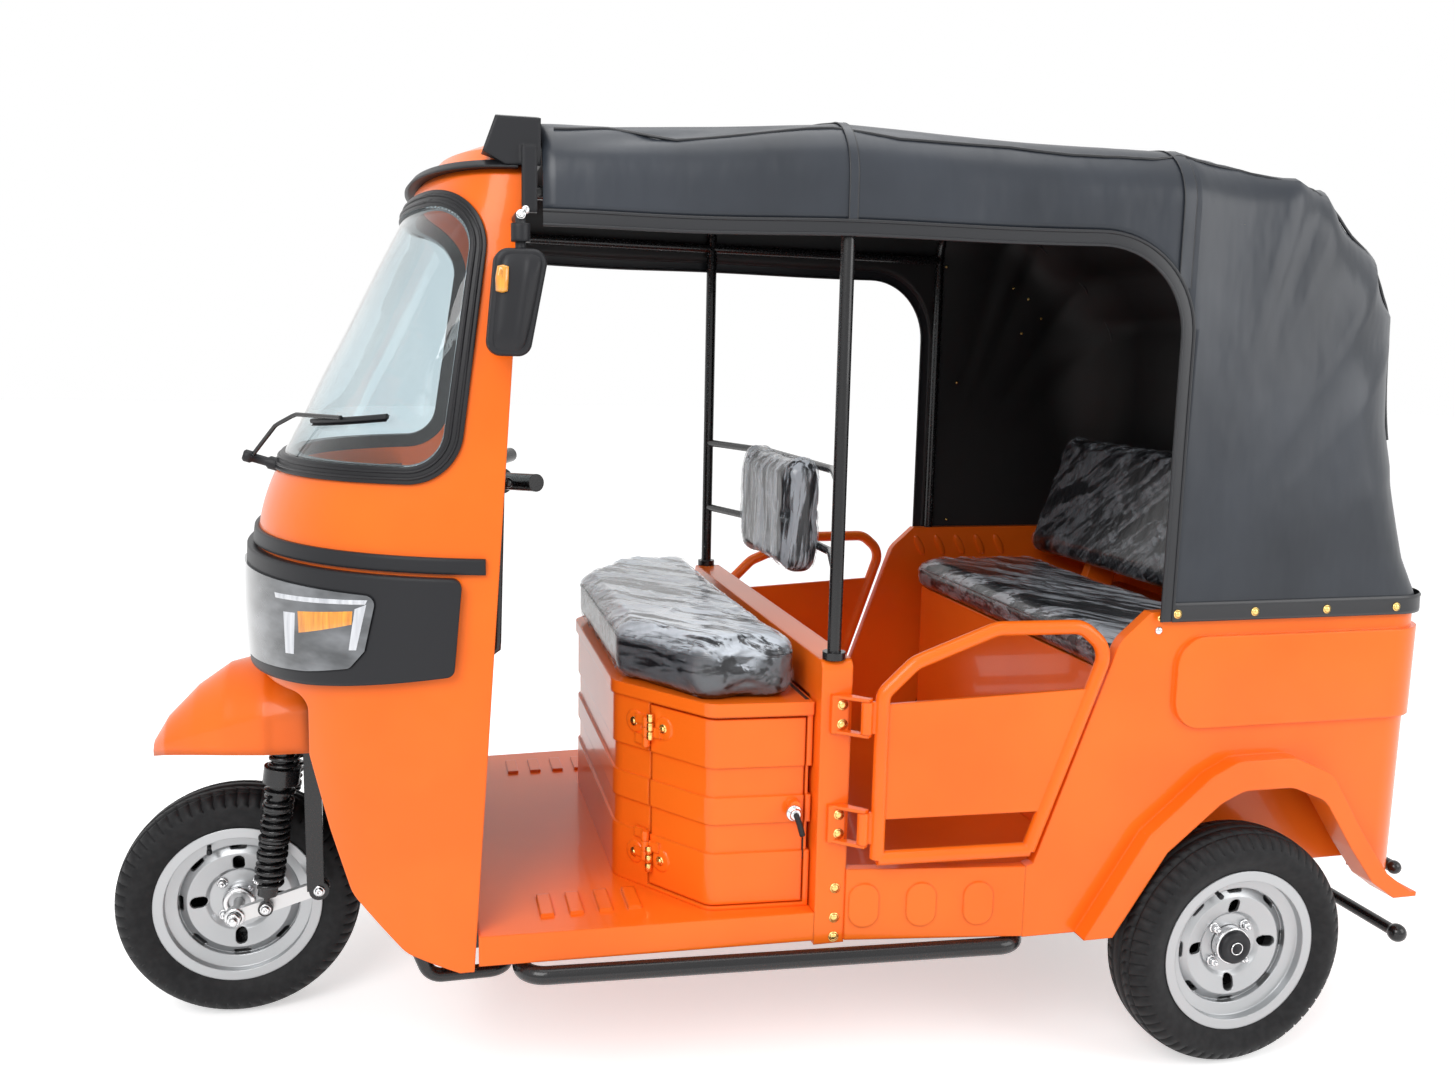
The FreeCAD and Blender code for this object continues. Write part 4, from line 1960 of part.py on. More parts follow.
def rear_bumper():
    """Two cross tubes with ball ends, on flat brackets bolted under the tail."""
    thick = float(size.bumper_bracket_thick)
    plate_x = -float(size.bumper_plate_x)
    top = float(size.rail_kick_low)
    low = float(size.bumper_height)
    bend = float(size.bumper_bend_height)
    high = float(size.bumper_high)
    pieces = []
    for side in (1, -1):
        y = side * float(size.rail_half) - float(size.bumper_bracket_width) / 2
        corners = [
            Vector(plate_x, y, top), Vector(plate_x - thick, y, top),
            Vector(plate_x - thick, y, bend), Vector(-float(size.bumper_x), y, low + thick),
            Vector(-float(size.bumper_x), y, low - thick), Vector(plate_x, y, bend - thick),
        ]
        face = Part.Face(rounded_wire(corners, {}))
        pieces.append(face.extrude(Vector(0, float(size.bumper_bracket_width), 0)))
        arm = Part.makeBox(float(size.bumper_high_x) + plate_x, float(size.bumper_bracket_width),
                           thick, Vector(-float(size.bumper_high_x), y, high - thick / 2))
        pieces.append(arm)
    for x, height, half, ball in (
            (size.bumper_x, low, size.bumper_half, size.bumper_ball),
            (size.bumper_high_x, high, size.bumper_high_half, size.bumper_high_ball)):
        ends = [Vector(-float(x), side * float(half), height) for side in (1, -1)]
        pieces.append(rod_shape(ends[0], ends[1], size.bumper_radius))
        pieces += [Part.makeSphere(float(ball), end) for end in ends]
    keep(freeform("rear_bumper", pieces[0].multiFuse(pieces[1:])), "rear_bumper")


def tail_lamps():
    pieces = []
    for side, name in ((1, "left"), (-1, "right")):
        y = size.tail_lamp_half * side - size.tail_lamp_width / 2
        pieces.append(block("tail_lamp_" + name, -size.tub_rear - size.tail_lamp_thick, y,
                            size.tail_lamp_height, size.tail_lamp_thick,
                            size.tail_lamp_width, size.tail_lamp_tall))
    keep(group("tail_lamp_pair", pieces), "tail_lamps")


def rear_axle():
    """Axle tube with brake backs, the final drive case and its motor block."""
    half = size.axle_tube_half
    height = size.tyre_radius
    stub = size.rear_track / 2 + size.disc_face
    pieces = [
        rod("axle_tube", "y", REAR_AXLE_X, -half, height, size.axle_tube_radius, half * 2),
        rod("axle_shaft", "y", REAR_AXLE_X, -stub, height, size.rear_axle_radius, stub * 2),
        rod("drive_case", "y", REAR_AXLE_X, -size.case_half - size.case_width / 2, height,
            size.case_radius, size.case_width),
        rod("motor", "x", REAR_AXLE_X, -size.case_half, height, size.motor_radius,
            size.motor_length),
    ]
    keep(fuse("rear_axle_whole", pieces), "rear_axle")


def rear_dampers():
    """A coil-over damper each side between the axle tube and the cross beam."""
    dampers = []
    for side in (1, -1):
        y = side * float(size.rear_damper_half)
        foot = Vector(float(REAR_AXLE_X), y,
                      float(size.tyre_radius + size.axle_tube_radius + size.running_gap))
        top = Vector(foot.x, y, float(size.rail_kick_low + size.rail_tall - size.running_gap))
        dampers.append(damper_shape(foot, top))
    keep(freeform("rear_dampers", Part.makeCompound(dampers)), "rear_dampers")


def write_parts():
    """Check every object, then write each sub-part to its own file."""
    document.recompute()
    faults = [item.Label for item in document.Objects
              if "Invalid" in item.State or "Error" in item.State]
    if faults:
        raise RuntimeError("objects that failed: " + ", ".join(faults))
    for node in NODES:
        if node.Shape.isNull() or not node.Shape.isValid():
            raise RuntimeError("no valid shape: " + node.Label)
    os.makedirs("parts", exist_ok=True)
    for node in NODES:
        node.Shape.exportStep("parts/" + node.Label + ".step")


def build():
    chassis_frame()
    keep(group("floor_pair", [floor_pan(), rear_floor()]), "floor_panels")
    partition()
    nose_pieces()
    mirrors()
    seat_box()
    battery_pack()
    driver_seat()
    driver_backrest()
    back_rails()
    canopy_frame()
    canopy()
    rear_body()
    sills()
    bench_base()
    bench_cushions()
    door("door_left", 1)
    door("door_right", -1)
    door_hinges()
    side_steps()
    rear_bumper()
    tail_lamps()
    rear_axle()
    rear_dampers()
    fork()
    leading_links()
    front_dampers()
    handlebar()
    mudguard()
    wheels()
    write_parts()


build()
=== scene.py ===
"""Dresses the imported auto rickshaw: finishes, soft parts and small fittings, in metres."""
import math

import bmesh
import bpy
import numpy as np
from mathutils import Matrix, Vector, noise
from mathutils.bvhtree import BVHTree


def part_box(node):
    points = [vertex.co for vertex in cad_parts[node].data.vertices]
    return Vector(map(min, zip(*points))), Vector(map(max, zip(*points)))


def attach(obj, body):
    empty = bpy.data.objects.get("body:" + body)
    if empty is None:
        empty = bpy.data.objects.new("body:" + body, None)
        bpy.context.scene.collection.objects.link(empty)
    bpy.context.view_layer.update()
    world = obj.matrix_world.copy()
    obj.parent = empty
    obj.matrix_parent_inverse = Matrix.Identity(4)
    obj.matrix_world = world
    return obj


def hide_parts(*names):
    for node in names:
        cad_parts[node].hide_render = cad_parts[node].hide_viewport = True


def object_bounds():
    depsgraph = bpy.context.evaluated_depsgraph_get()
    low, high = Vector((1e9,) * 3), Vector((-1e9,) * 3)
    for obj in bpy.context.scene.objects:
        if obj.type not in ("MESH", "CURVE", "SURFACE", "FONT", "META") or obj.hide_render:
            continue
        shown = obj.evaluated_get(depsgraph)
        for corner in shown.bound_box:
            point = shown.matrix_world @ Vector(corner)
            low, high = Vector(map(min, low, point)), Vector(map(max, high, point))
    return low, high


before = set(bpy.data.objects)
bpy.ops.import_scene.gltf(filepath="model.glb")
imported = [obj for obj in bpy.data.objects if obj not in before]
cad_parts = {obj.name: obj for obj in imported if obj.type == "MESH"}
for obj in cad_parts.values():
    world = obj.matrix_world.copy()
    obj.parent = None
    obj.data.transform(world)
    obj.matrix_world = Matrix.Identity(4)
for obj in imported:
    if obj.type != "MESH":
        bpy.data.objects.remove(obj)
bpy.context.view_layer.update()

# The photograph's viewpoint, fitted to the vehicle's known points
CAMERA_SPOT = Vector((0.7425, 2.6953, 1.4117))
CAMERA_YAW = math.radians(14.295)
CAMERA_DOWN = math.radians(8.481)
CAMERA_ROLL = math.radians(1.220)
CAMERA_LENS = 30.76
CAMERA_SENSOR = 36.0


def feed(holder, node, inputs):
    """Fill a node's inputs by name or place: sockets are linked, plain values written in."""
    for name, value in inputs.items():
        if isinstance(value, bpy.types.NodeSocket):
            holder.node_tree.links.new(value, node.inputs[name])
        else:
            node.inputs[name].default_value = value


def node_of(holder, kind, inputs, **settings):
    """A new node of a material or the world, with its inputs filled."""
    node = holder.node_tree.nodes.new(kind)
    for name, value in settings.items():
        setattr(node, name, value)
    feed(holder, node, inputs)
    return node


def maths(holder, operation, *values):
    """The result of one Math node."""
    return node_of(holder, "ShaderNodeMath", dict(enumerate(values)),
                   operation=operation).outputs[0]


def dress(material, **inputs):
    """Fill inputs of a material's own shader."""
    feed(material, material.node_tree.nodes["Principled BSDF"],
         {name.replace("_", " "): value for name, value in inputs.items()})


def blank_material(name, colour, roughness, **sockets):
    """A material with one shader, and its plain values on the shader's own sockets."""
    material = bpy.data.materials.new(name)
    material.use_nodes = True
    dress(material, Base_Color=(*colour, 1), Roughness=roughness, **sockets)
    return material


def object_noise(material, scale, detail, stretch=(1, 1, 1), offset=0.0):
    """Noise that sits on the object itself, so that it doesn't slide from view to view."""
    place = node_of(material, "ShaderNodeTexCoord", {})
    mapping = node_of(material, "ShaderNodeMapping", {
        "Scale": stretch, "Location": (offset,) * 3, "Vector": place.outputs["Object"]})
    return node_of(material, "ShaderNodeTexNoise", {
        "Scale": scale, "Detail": detail, "Vector": mapping.outputs["Vector"]}).outputs["Fac"]


def add_bump(material, height, strength, distance):
    """A bump under the shader's normal."""
    bump = node_of(material, "ShaderNodeBump",
                   {"Strength": strength, "Distance": distance, "Height": height})
    dress(material, Normal=bump.outputs["Normal"])
    return bump


def tinted(material, source, low, high, low_colour, high_colour):
    """Colour that runs from one tint to another between two levels of the source."""
    mix = node_of(material, "ShaderNodeValToRGB", {"Fac": source})
    for stop, level, colour in zip(mix.color_ramp.elements, (low, high),
                                   (low_colour, high_colour)):
        stop.position = level
        stop.color = (*colour, 1)
    dress(material, Base_Color=mix.outputs["Color"])


def spread(material, source, low, high, least, most=1.0):
    """Levels of the source between low and high, mapped onto least to most."""
    return node_of(material, "ShaderNodeMapRange", {
        "From Min": low, "From Max": high, "To Min": least, "To Max": most,
        "Value": source}).outputs["Result"]


def varied_roughness(material, source, low, high):
    """Roughness that runs from low to high with the source."""
    dress(material, Roughness=spread(material, source, 0.0, 1.0, low, high))


def eased(material, radius, grain, strength=0.05, distance=0.0006):
    """Soft edges in the shading, as folded and painted sheet has, under a fine grain."""
    edge = node_of(material, "ShaderNodeBevel", {"Radius": radius}, samples=6)
    feed(material, add_bump(material, grain, strength, distance),
         {"Normal": edge.outputs["Normal"]})


MATERIALS = {}


def finish(name, colour, roughness, field, tint=None, rough=None, edge=None, bump=None,
           **sockets):
    """A finish whose tint, roughness and grain all follow one noise on the object."""
    material = MATERIALS[name] = blank_material(name, colour, roughness, **sockets)
    source = object_noise(material, *field)
    if tint:
        tinted(material, source, *tint)
    if rough:
        varied_roughness(material, source, *rough)
    if edge:
        eased(material, edge, source, *bump)
    elif bump:
        add_bump(material, source, *bump)
    return material


def orange_finish(name, radius):
    """The body's orange, with a cloud in its tint and a finer grain in its surface."""
    paint = finish(name, (0.98, 0.165, 0.010), 0.28, (3.0, 3.0), Specular_IOR_Level=0.22,
                   tint=(0.35, 0.65, (0.95, 0.152, 0.008), (1.0, 0.178, 0.012)),
                   Coat_Weight=0.25, Coat_Roughness=0.05)
    eased(paint, radius, object_noise(paint, 160.0, 2.0))


def creased(material, length, width, tilt, detail):
    """Noise drawn out along one line of the object, for creases that run one way."""
    place = node_of(material, "ShaderNodeTexCoord", {})
    drawn = node_of(material, "ShaderNodeMapping", {
        "Scale": (length, width, width), "Rotation": tilt, "Vector": place.outputs["Object"]},
        vector_type="TEXTURE")
    return node_of(material, "ShaderNodeTexNoise", {
        "Scale": 1.0, "Detail": detail, "Distortion": 0.6,
        "Vector": drawn.outputs["Vector"]}).outputs["Fac"]


def film_of(name, tilt, side_share, brightest, low=0.66, high=0.82):
    """Thin plastic wrap: painted white reflection in streaks along its creases, strongest where it
    faces up, clear between them.
    """
    material = MATERIALS[name] = blank_material(name, (0.80, 0.86, 0.94), 0.14, Coat_Weight=0.5)
    broad = creased(material, 0.30, 0.034, tilt, 4.0)
    fine = creased(material, 0.09, 0.0075, tilt, 2.0)
    shape = node_of(material, "ShaderNodeNewGeometry", {})
    split = node_of(material, "ShaderNodeSeparateXYZ", {"Vector": shape.outputs["Normal"]})
    # Painted reflection: the film's opacity, and so its whiteness, rises along the creases and
    # where its face turns up.
    up = spread(material, split.outputs["Z"], 0.3, 0.95, side_share)
    streak = maths(material, "MULTIPLY_ADD", fine, 0.45, broad)
    painted_sheen = maths(material, "MULTIPLY", up, spread(material, streak, low, high, 0.05))
    dress(material, Alpha=maths(material, "MULTIPLY", painted_sheen, brightest))
    add_bump(material, streak, 0.6, 0.005)


orange_finish("orange_paint", 0.006)
finish("black_paint", (0.008, 0.008, 0.009), 0.26, (220.0, 3.0), rough=(0.18, 0.36), edge=0.003,
       bump=(0.08, 0.0005), Specular_IOR_Level=0.35, Coat_Weight=0.3)
finish("black_plastic", (0.014, 0.0145, 0.017), 0.42, (900.0, 2.0), rough=(0.34, 0.5), edge=0.009,
       bump=(0.1, 0.0003), Specular_IOR_Level=0.3)
finish("rubber_trim", (0.007, 0.007, 0.009), 0.36, (500.0, 3.0), rough=(0.3, 0.46), edge=0.005,
       bump=(0.1, 0.0003), Specular_IOR_Level=0.35)
finish("tyre_rubber", (0.012, 0.012, 0.013), 0.55, (60.0, 6.0), bump=(0.15, 0.0008),
       tint=(0.35, 0.7, (0.009, 0.009, 0.010), (0.018, 0.018, 0.019)), Specular_IOR_Level=0.2)
finish("silver_steel", (0.44, 0.45, 0.46), 0.3, (700.0, 2.0), rough=(0.28, 0.42), edge=0.004,
       bump=(0.06, 0.0003), Metallic=0.8)
finish("link_steel", (0.6, 0.6, 0.6), 0.35, (240.0, 4.0), rough=(0.26, 0.5),
       bump=(0.15, 0.0006), Metallic=0.9)
finish("screen_glass", (0.80, 0.88, 0.90), 0.0, (4.0, 3.0, (1, 1, 0.3)),
       tint=(0.35, 0.65, (0.70, 0.80, 0.84), (0.86, 0.92, 0.93)),
       Transmission_Weight=1.0, IOR=1.03, Coat_Weight=1.0, Coat_Roughness=0.01)
finish("lamp_lens", (0.12, 0.13, 0.14), 0.08, (9.0, 3.0, (1, 1, 2.5)),
       tint=(0.35, 0.65, (0.055, 0.06, 0.066), (0.2, 0.21, 0.225)), Coat_Weight=0.8)
finish("red_lens", (0.45, 0.01, 0.01), 0.12, (300.0, 1.0, (1, 1, 0.05)), bump=(0.4, 0.001),
       Coat_Weight=0.8)
vinyl = finish("canopy_vinyl", (0.026, 0.031, 0.040), 0.34, (4.0, 4.0),
               tint=(0.3, 0.7, (0.020, 0.024, 0.031), (0.034, 0.040, 0.051)),
               Specular_IOR_Level=0.4)
add_bump(vinyl, object_noise(vinyl, 5.0, 3.0, (1.6, 0.5, 0.6), 4.0), 0.35, 0.02)
finish("seat_vinyl", (0.008, 0.008, 0.010), 0.3, (24.0, 5.0, (1, 2.2, 0.6)), bump=(0.5, 0.005),
       Specular_IOR_Level=0.4, Coat_Weight=0.4, Coat_Roughness=0.1)
finish("canopy_lining", (0.010, 0.010, 0.011), 0.6, (900.0, 2.0), rough=(0.5, 0.7),
       bump=(0.1, 0.0004))
finish("black_vinyl", (0.014, 0.015, 0.018), 0.38, (700.0, 2.0), rough=(0.3, 0.46),
       bump=(0.1, 0.0003))
film_of("clear_film", (0, 0, math.radians(-50)), 0.12, 0.97, 0.6, 0.72)
film_of("film_upright", (0, math.radians(84), 0), 0.5, 0.75, 0.64, 0.76)
film_of("film_slanted", (0, math.radians(-38), math.radians(90)), 0.45, 0.42)
film_of("film_bench", (0, 0, math.radians(-64)), 0.35, 0.7, 0.66, 0.78)
orange_finish("orange_wing", 0.03)
finish("brass", (0.83, 0.58, 0.2), 0.25, (400.0, 3.0), rough=(0.18, 0.36), Metallic=1.0)
finish("chrome", (0.72, 0.72, 0.73), 0.15, (300.0, 3.0), rough=(0.1, 0.28), Metallic=1.0)
finish("light_bar", (0.62, 0.64, 0.68), 0.2, (90.0, 2.0, (1, 1, 0.1)),
       tint=(0.3, 0.7, (0.5, 0.52, 0.56), (0.74, 0.76, 0.8)), Coat_Weight=1.0)
finish("amber_lens", (0.85, 0.32, 0.02), 0.14, (160.0, 2.0, (1, 1, 0.08)), bump=(0.25, 0.001),
       tint=(0.3, 0.7, (0.7, 0.22, 0.01), (0.95, 0.42, 0.03)), Coat_Weight=1.0)


def paint_cad_nodes():
    """Gives each node the finish of its slot. The mudguard's round form is shaded softer."""
    for name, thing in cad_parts.items():
        for place in thing.material_slots:
            slot_name = place.material.name.split(".")[0]
            if name == "mudguard":
                slot_name = "orange_wing"
            place.material = MATERIALS.get(slot_name, MATERIALS["orange_paint"])


# Helpers that build pieces


def put(name, data):
    """A new object in the scene."""
    thing = bpy.data.objects.new(name, data)
    bpy.context.scene.collection.objects.link(thing)
    return thing


def settle(name, data, material, body="chassis"):
    """Put new geometry into the scene on the body that carries it."""
    thing = put(name, data)
    data.materials.append(MATERIALS[material])
    if isinstance(data, bpy.types.Mesh):
        data.shade_smooth()
    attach(thing, body)
    return thing


def points_of(mesh):
    """The places of a mesh's points."""
    return np.array([vertex.co for vertex in mesh.vertices])


def move_points(mesh, spots):
    """Put a mesh's points at new places."""
    mesh.vertices.foreach_set("co", np.array(spots, np.float32).ravel())
    mesh.update()


def grid_mesh(name, rows, closed=False):
    """Quads between successive rows of points."""
    width = len(rows[0])
    faces = []
    for row in range(len(rows) - 1):
        for column in range(width if closed else width - 1):
            low = row * width
            following = (column + 1) % width
            faces.append((low + column, low + following, low + width + following,
                          low + width + column))
    mesh = bpy.data.meshes.new(name)
    mesh.from_pydata([tuple(spot) for row in rows for spot in row], [], faces)
    mesh.update()
    return mesh


def laid(name, rows, material, closed=False):
    """Settle the quads between rows of points as one piece of the chassis."""
    settle(name, grid_mesh(name, rows, closed), material)


def joined(name, meshes):
    """One mesh out of several."""
    whole = bmesh.new()
    for mesh in meshes:
        whole.from_mesh(mesh)
    result = bpy.data.meshes.new(name)
    whole.to_mesh(result)
    whole.free()
    return result


def fitted(name, parts, material, body="chassis"):
    """Settle several small forms as one piece."""
    settle(name, joined(name, parts), material, body)


def welded(mesh, reach, roof=False):
    """Join points closer than a reach and turn the faces one way, a roof's outside up."""
    work = bmesh.new()
    work.from_mesh(mesh)
    bmesh.ops.remove_doubles(work, verts=work.verts, dist=reach)
    bmesh.ops.recalc_face_normals(work, faces=work.faces)
    if roof:
        work.faces.ensure_lookup_table()
        top = max(work.faces, key=lambda face: face.calc_center_median().z)
        if top.normal.z < 0:
            bmesh.ops.reverse_faces(work, faces=work.faces)
    work.to_mesh(mesh)
    work.free()


def piping(name, runs, radius, material, body="chassis", cyclic=False):
    """Round beads, wires or welts through runs of points."""
    line = bpy.data.curves.new(name, "CURVE")
    line.dimensions = "3D"
    line.bevel_depth = radius
    line.bevel_resolution = 2
    line.use_fill_caps = True
    for run in runs:
        spline = line.splines.new("POLY")
        spline.points.add(len(run) - 1)
        for knot, spot in zip(spline.points, run):
            knot.co = (*spot, 1)
        spline.use_cyclic_u = cyclic
        spline.use_smooth = True
    settle(name, line, material, body)


def surface_of(thing):
    """A search tree of an object's own faces."""
    mesh = thing.data
    return BVHTree.FromPolygons([vertex.co.copy() for vertex in mesh.vertices],
                                [tuple(face.vertices) for face in mesh.polygons])


def lathe(profile, spot, way, segments):
    """A turned form: pairs of radius and distance along its way from a spot."""
    way = Vector(way).normalized()
    side = way.orthogonal().normalized()
    other = way.cross(side)
    rows = []
    for radius, along in profile:
        middle = Vector(spot) + way * along
        rows.append([middle + (side * math.cos(turn) + other * math.sin(turn)) * radius
                     for turn in (2 * math.pi * step / segments for step in range(segments))])
    return grid_mesh("turned", rows, closed=True)


def dome(spot, way, radius, height):
    """A small rivet head."""
    steps = [0, 0.35, 0.65, 0.88, 1]
    profile = [(radius, -height * 0.3), (radius, height * 0.2)]
    profile += [(radius * math.cos(math.pi / 2 * step), height * (0.2 + 0.8 * math.sin(
        math.pi / 2 * step))) for step in steps[1:]]
    return lathe(profile, spot, way, 16)


def bolt(spot, way, radius, height):
    """A hexagon head with a chamfer, on a washer."""
    washer = lathe([(0, 0), (radius * 1.35, 0), (radius * 1.35, height * 0.16),
                    (radius, height * 0.22)], spot, way, 20)
    head = lathe([(radius, height * 0.15), (radius, height * 0.85), (radius * 0.82, height),
                  (radius * 0.45, height), (radius * 0.4, height * 0.8), (0, height * 0.78)],
                 spot, way, 6)
    for face in head.polygons:
        face.use_smooth = False
    return joined("bolt", [washer, head])


def flipped(spot):
    """The mirror image of a point on the other side."""
    return Vector((spot[0], -spot[1], spot[2]))


def both_sides(spots):
    """Points of the left side and their mirror images, with the way that each faces."""
    return ([(Vector(spot), Vector((0, 1, 0))) for spot in spots]
            + [(flipped(spot), Vector((0, -1, 0))) for spot in spots])


def domes(spots, radius, height):
    """Rivet heads on both sides."""
    return [dome(spot, way, radius, height) for spot, way in both_sides(spots)]


def bolts(spots, radius, height):
    """Hexagon heads on both sides."""
    return [bolt(spot, way, radius, height) for spot, way in both_sides(spots)]


def washer_screws(spots, radius):
    """Domed screws on flat washers, on both sides."""
    heads = []
    for spot, way in both_sides(spots):
        heads.append(dome(spot, way, radius, 0.004))
        heads.append(lathe([(0.0105, 0), (0.0105, 0.0012), (0.008, 0.002)], spot, way, 18))
    return heads


def between(corners, along, down):
    """A point inside four corners, by its shares along and down."""
    ends = [[near * (1 - along) + far * along for near, far in zip(*pair)]
            for pair in ((corners[0], corners[1]), (corners[3], corners[2]))]
    return [upper * (1 - down) + lower * down for upper, lower in zip(*ends)]


# Canopy

# Places in side view and radii, in metres
HOOD_FRONT = 0.5185
HOOD_REAR = -0.487
HOOD_HINGE = Vector((-0.679, 0, 0.919))
HOOD_VALANCE = 1.652
HOOD_CORNER = 0.19
HOOD_EYE = 1.6
FAN_EYE = 0.4

# Counts of rows, of points across the roof and down each side, and of rays in an outline
ROOF_ROWS_LONG = 44
ROOF_ROWS_CORNER = 17
FAN_ROWS_DOWN = 62
HOOD_SPAN = 96
HOOD_SIDE_SPAN = 22
HOOD_BOWS = [math.radians(turn) for turn in (90, 75, 69, 57.8, 47.6, 30, 0)]
HOOD_POSTS = (0.504, -0.021, -0.69)
HOOD_RAYS = 240
HOOD_DENSE = 800

# Depths of slack in the roof and between the rear bows, and measures of the trim
ROOF_SAG = 0.006
CORNER_SAG = 0.016
LOW_SAG = 0.006
HEM_FOOT = 0.918
STUD_HEIGHT = 0.934
BAND_WIDTH = 0.024
BAND_PROUD = 0.0035
SEAM_PROUD = 0.002

# Creases of the front bay: the place round the outline, its slope, the half-width and depth
FRONT_CREASES = ((0.10, 0.20, 0.016, 0.009), (0.150, 0.36, 0.022, 0.011),
                 (0.215, 0.30, 0.026, 0.008))


def valance_at(x):
    """Height of the canopy's lower edge over the doorway, with its rounded rear corner."""
    centre = HOOD_HINGE.x + HOOD_CORNER
    if x >= centre:
        return HOOD_VALANCE
    across = min(1.0, (centre - x) / HOOD_CORNER)
    return HOOD_VALANCE - HOOD_CORNER * (1 - math.sqrt(1 - across * across))


def hood_profile(tree, base, up, eye, low):
    """The canopy's outline in one plane, from its left lower edge over to the right one."""
    centre = base + up * eye
    found = []
    for step in range(HOOD_RAYS + 1):
        turn = math.radians(-40 + 260 * step / HOOD_RAYS)
        way = Vector((0, 1, 0)) * math.cos(turn) + up * math.sin(turn)
        spot = tree.ray_cast(centre + way * 2, -way)[0]
        if spot is None or (spot - centre).dot(way) < 0:
            continue
        if (spot - base).dot(up) > low:
            found.append(spot)
    left = Vector(found[0])
    right = Vector(found[-1])
    left += up * (low - (left - base).dot(up))
    right += up * (low - (right - base).dot(up))
    return [left] + found + [right]


def resampled(line, count):
    """Evenly spaced points along a line."""
    lengths = [0.0]
    for before, after in zip(line, line[1:]):
        lengths.append(lengths[-1] + (after - before).length)
    flat = np.array([tuple(spot) for spot in line])
    stops = np.linspace(0, lengths[-1], count)
    return [Vector(column) for column in np.stack(
        [np.interp(stops, lengths, flat[:, axis]) for axis in range(3)], axis=1)]


def hood_fold(x, share):
    """Slack of the roof between its bows, and the long creases of the front bay, in metres."""
    sag = 0.0
    for front, rear in zip(HOOD_POSTS, HOOD_POSTS[1:]):
        if rear <= x <= front:
            sag = ROOF_SAG * math.sin(math.pi * (front - x) / (front - rear)) ** 2
    edge = min(share, 1 - share)
    for start, slope, wide, deep in FRONT_CREASES:
        if x > HOOD_POSTS[1]:
            along = (0.5 - x) / 0.52
            middle = start + slope * along * 0.35
            fade = math.sin(math.pi * min(1, max(0, along)))
            sag += deep * fade * math.exp(-((edge - middle) / wide) ** 2)
    return sag


def bow_fold(turn, share):
    """How far the canopy pulls in between its rear bows, most at the corners."""
    for high, low in zip(HOOD_BOWS, HOOD_BOWS[1:]):
        if low <= turn <= high:
            down = (high - turn) / (high - low)
            slack = abs(math.sin(math.pi * down)) ** 0.8
            deep = CORNER_SAG if low > HOOD_BOWS[4] - 0.01 else LOW_SAG
            edge = min(share, 1 - share)
            return deep * slack * math.exp(-((edge - 0.3) / 0.11) ** 2)
    return 0.0


def pulled_in(spots, base, up, fold):
    """Each point moved towards the middle by what a fold says for its share of the way."""
    centre = base + up * FAN_EYE
    last = len(spots) - 1
    return [spot + (centre - spot).normalized() * fold(index / last)
            for index, spot in enumerate(spots)]


def hood_rows(tree):
    """Rows across the roof from front to rear, and then fanned down to the hem."""
    roof = []
    corner = np.sin(np.linspace(0, math.pi / 2, ROOF_ROWS_CORNER)[1:])
    stations = list(np.linspace(HOOD_FRONT, HOOD_REAR, ROOF_ROWS_LONG)) + list(
        HOOD_REAR - 0.192 * corner)
    up = Vector((0, 0, 1))
    foot = HOOD_HINGE.z
    for x in stations:
        base = Vector((x, 0, foot))
        line = hood_profile(tree, base, up, HOOD_EYE - foot, valance_at(x) - foot)
        spots = resampled(line, HOOD_SPAN + 1)
        roof.append(pulled_in(spots, base, up, lambda share: hood_fold(x, share)))
    fan = []
    edge_share = None
    for turn in np.linspace(math.pi / 2, math.radians(0.4), FAN_ROWS_DOWN):
        up = Vector((-math.cos(turn), 0, math.sin(turn)))
        line = hood_profile(tree, HOOD_HINGE, up, FAN_EYE, 0.0)
        if edge_share is None:
            total = sum((after - before).length for before, after in zip(line, line[1:]))
            edge_share = (HOOD_VALANCE - HOOD_CORNER - foot) / total
        dense = resampled(line, HOOD_DENSE + 1)
        low = round(edge_share * HOOD_DENSE)
        left = resampled(dense[:low + 1], HOOD_SIDE_SPAN + 1)
        over = resampled(dense[low:HOOD_DENSE + 1 - low], HOOD_SPAN + 1)
        right = resampled(dense[HOOD_DENSE - low:], HOOD_SIDE_SPAN + 1)
        row = left[:-1] + over + right[1:]
        fan.append(pulled_in(row, HOOD_HINGE, up, lambda share: bow_fold(turn, share)))
    return roof, fan


def canopy_skin(roof, fan):
    """One continuous vinyl sheet with a black lining."""
    start = HOOD_SIDE_SPAN
    roof = roof[:-1] + [fan[0][start:start + HOOD_SPAN + 1]]
    skin = joined("canopy_skin", [grid_mesh("roof", roof), grid_mesh("fan", fan)])
    welded(skin, 0.0004, roof=True)
    piece = settle("canopy_skin", skin, "canopy_vinyl")
    skin.materials.append(MATERIALS["canopy_lining"])
    depth = piece.modifiers.new("cloth_thickness", "SOLIDIFY")
    depth.thickness = 0.004
    depth.offset = -1
    depth.material_offset = 1
    depth.material_offset_rim = 1
    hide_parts("canopy")


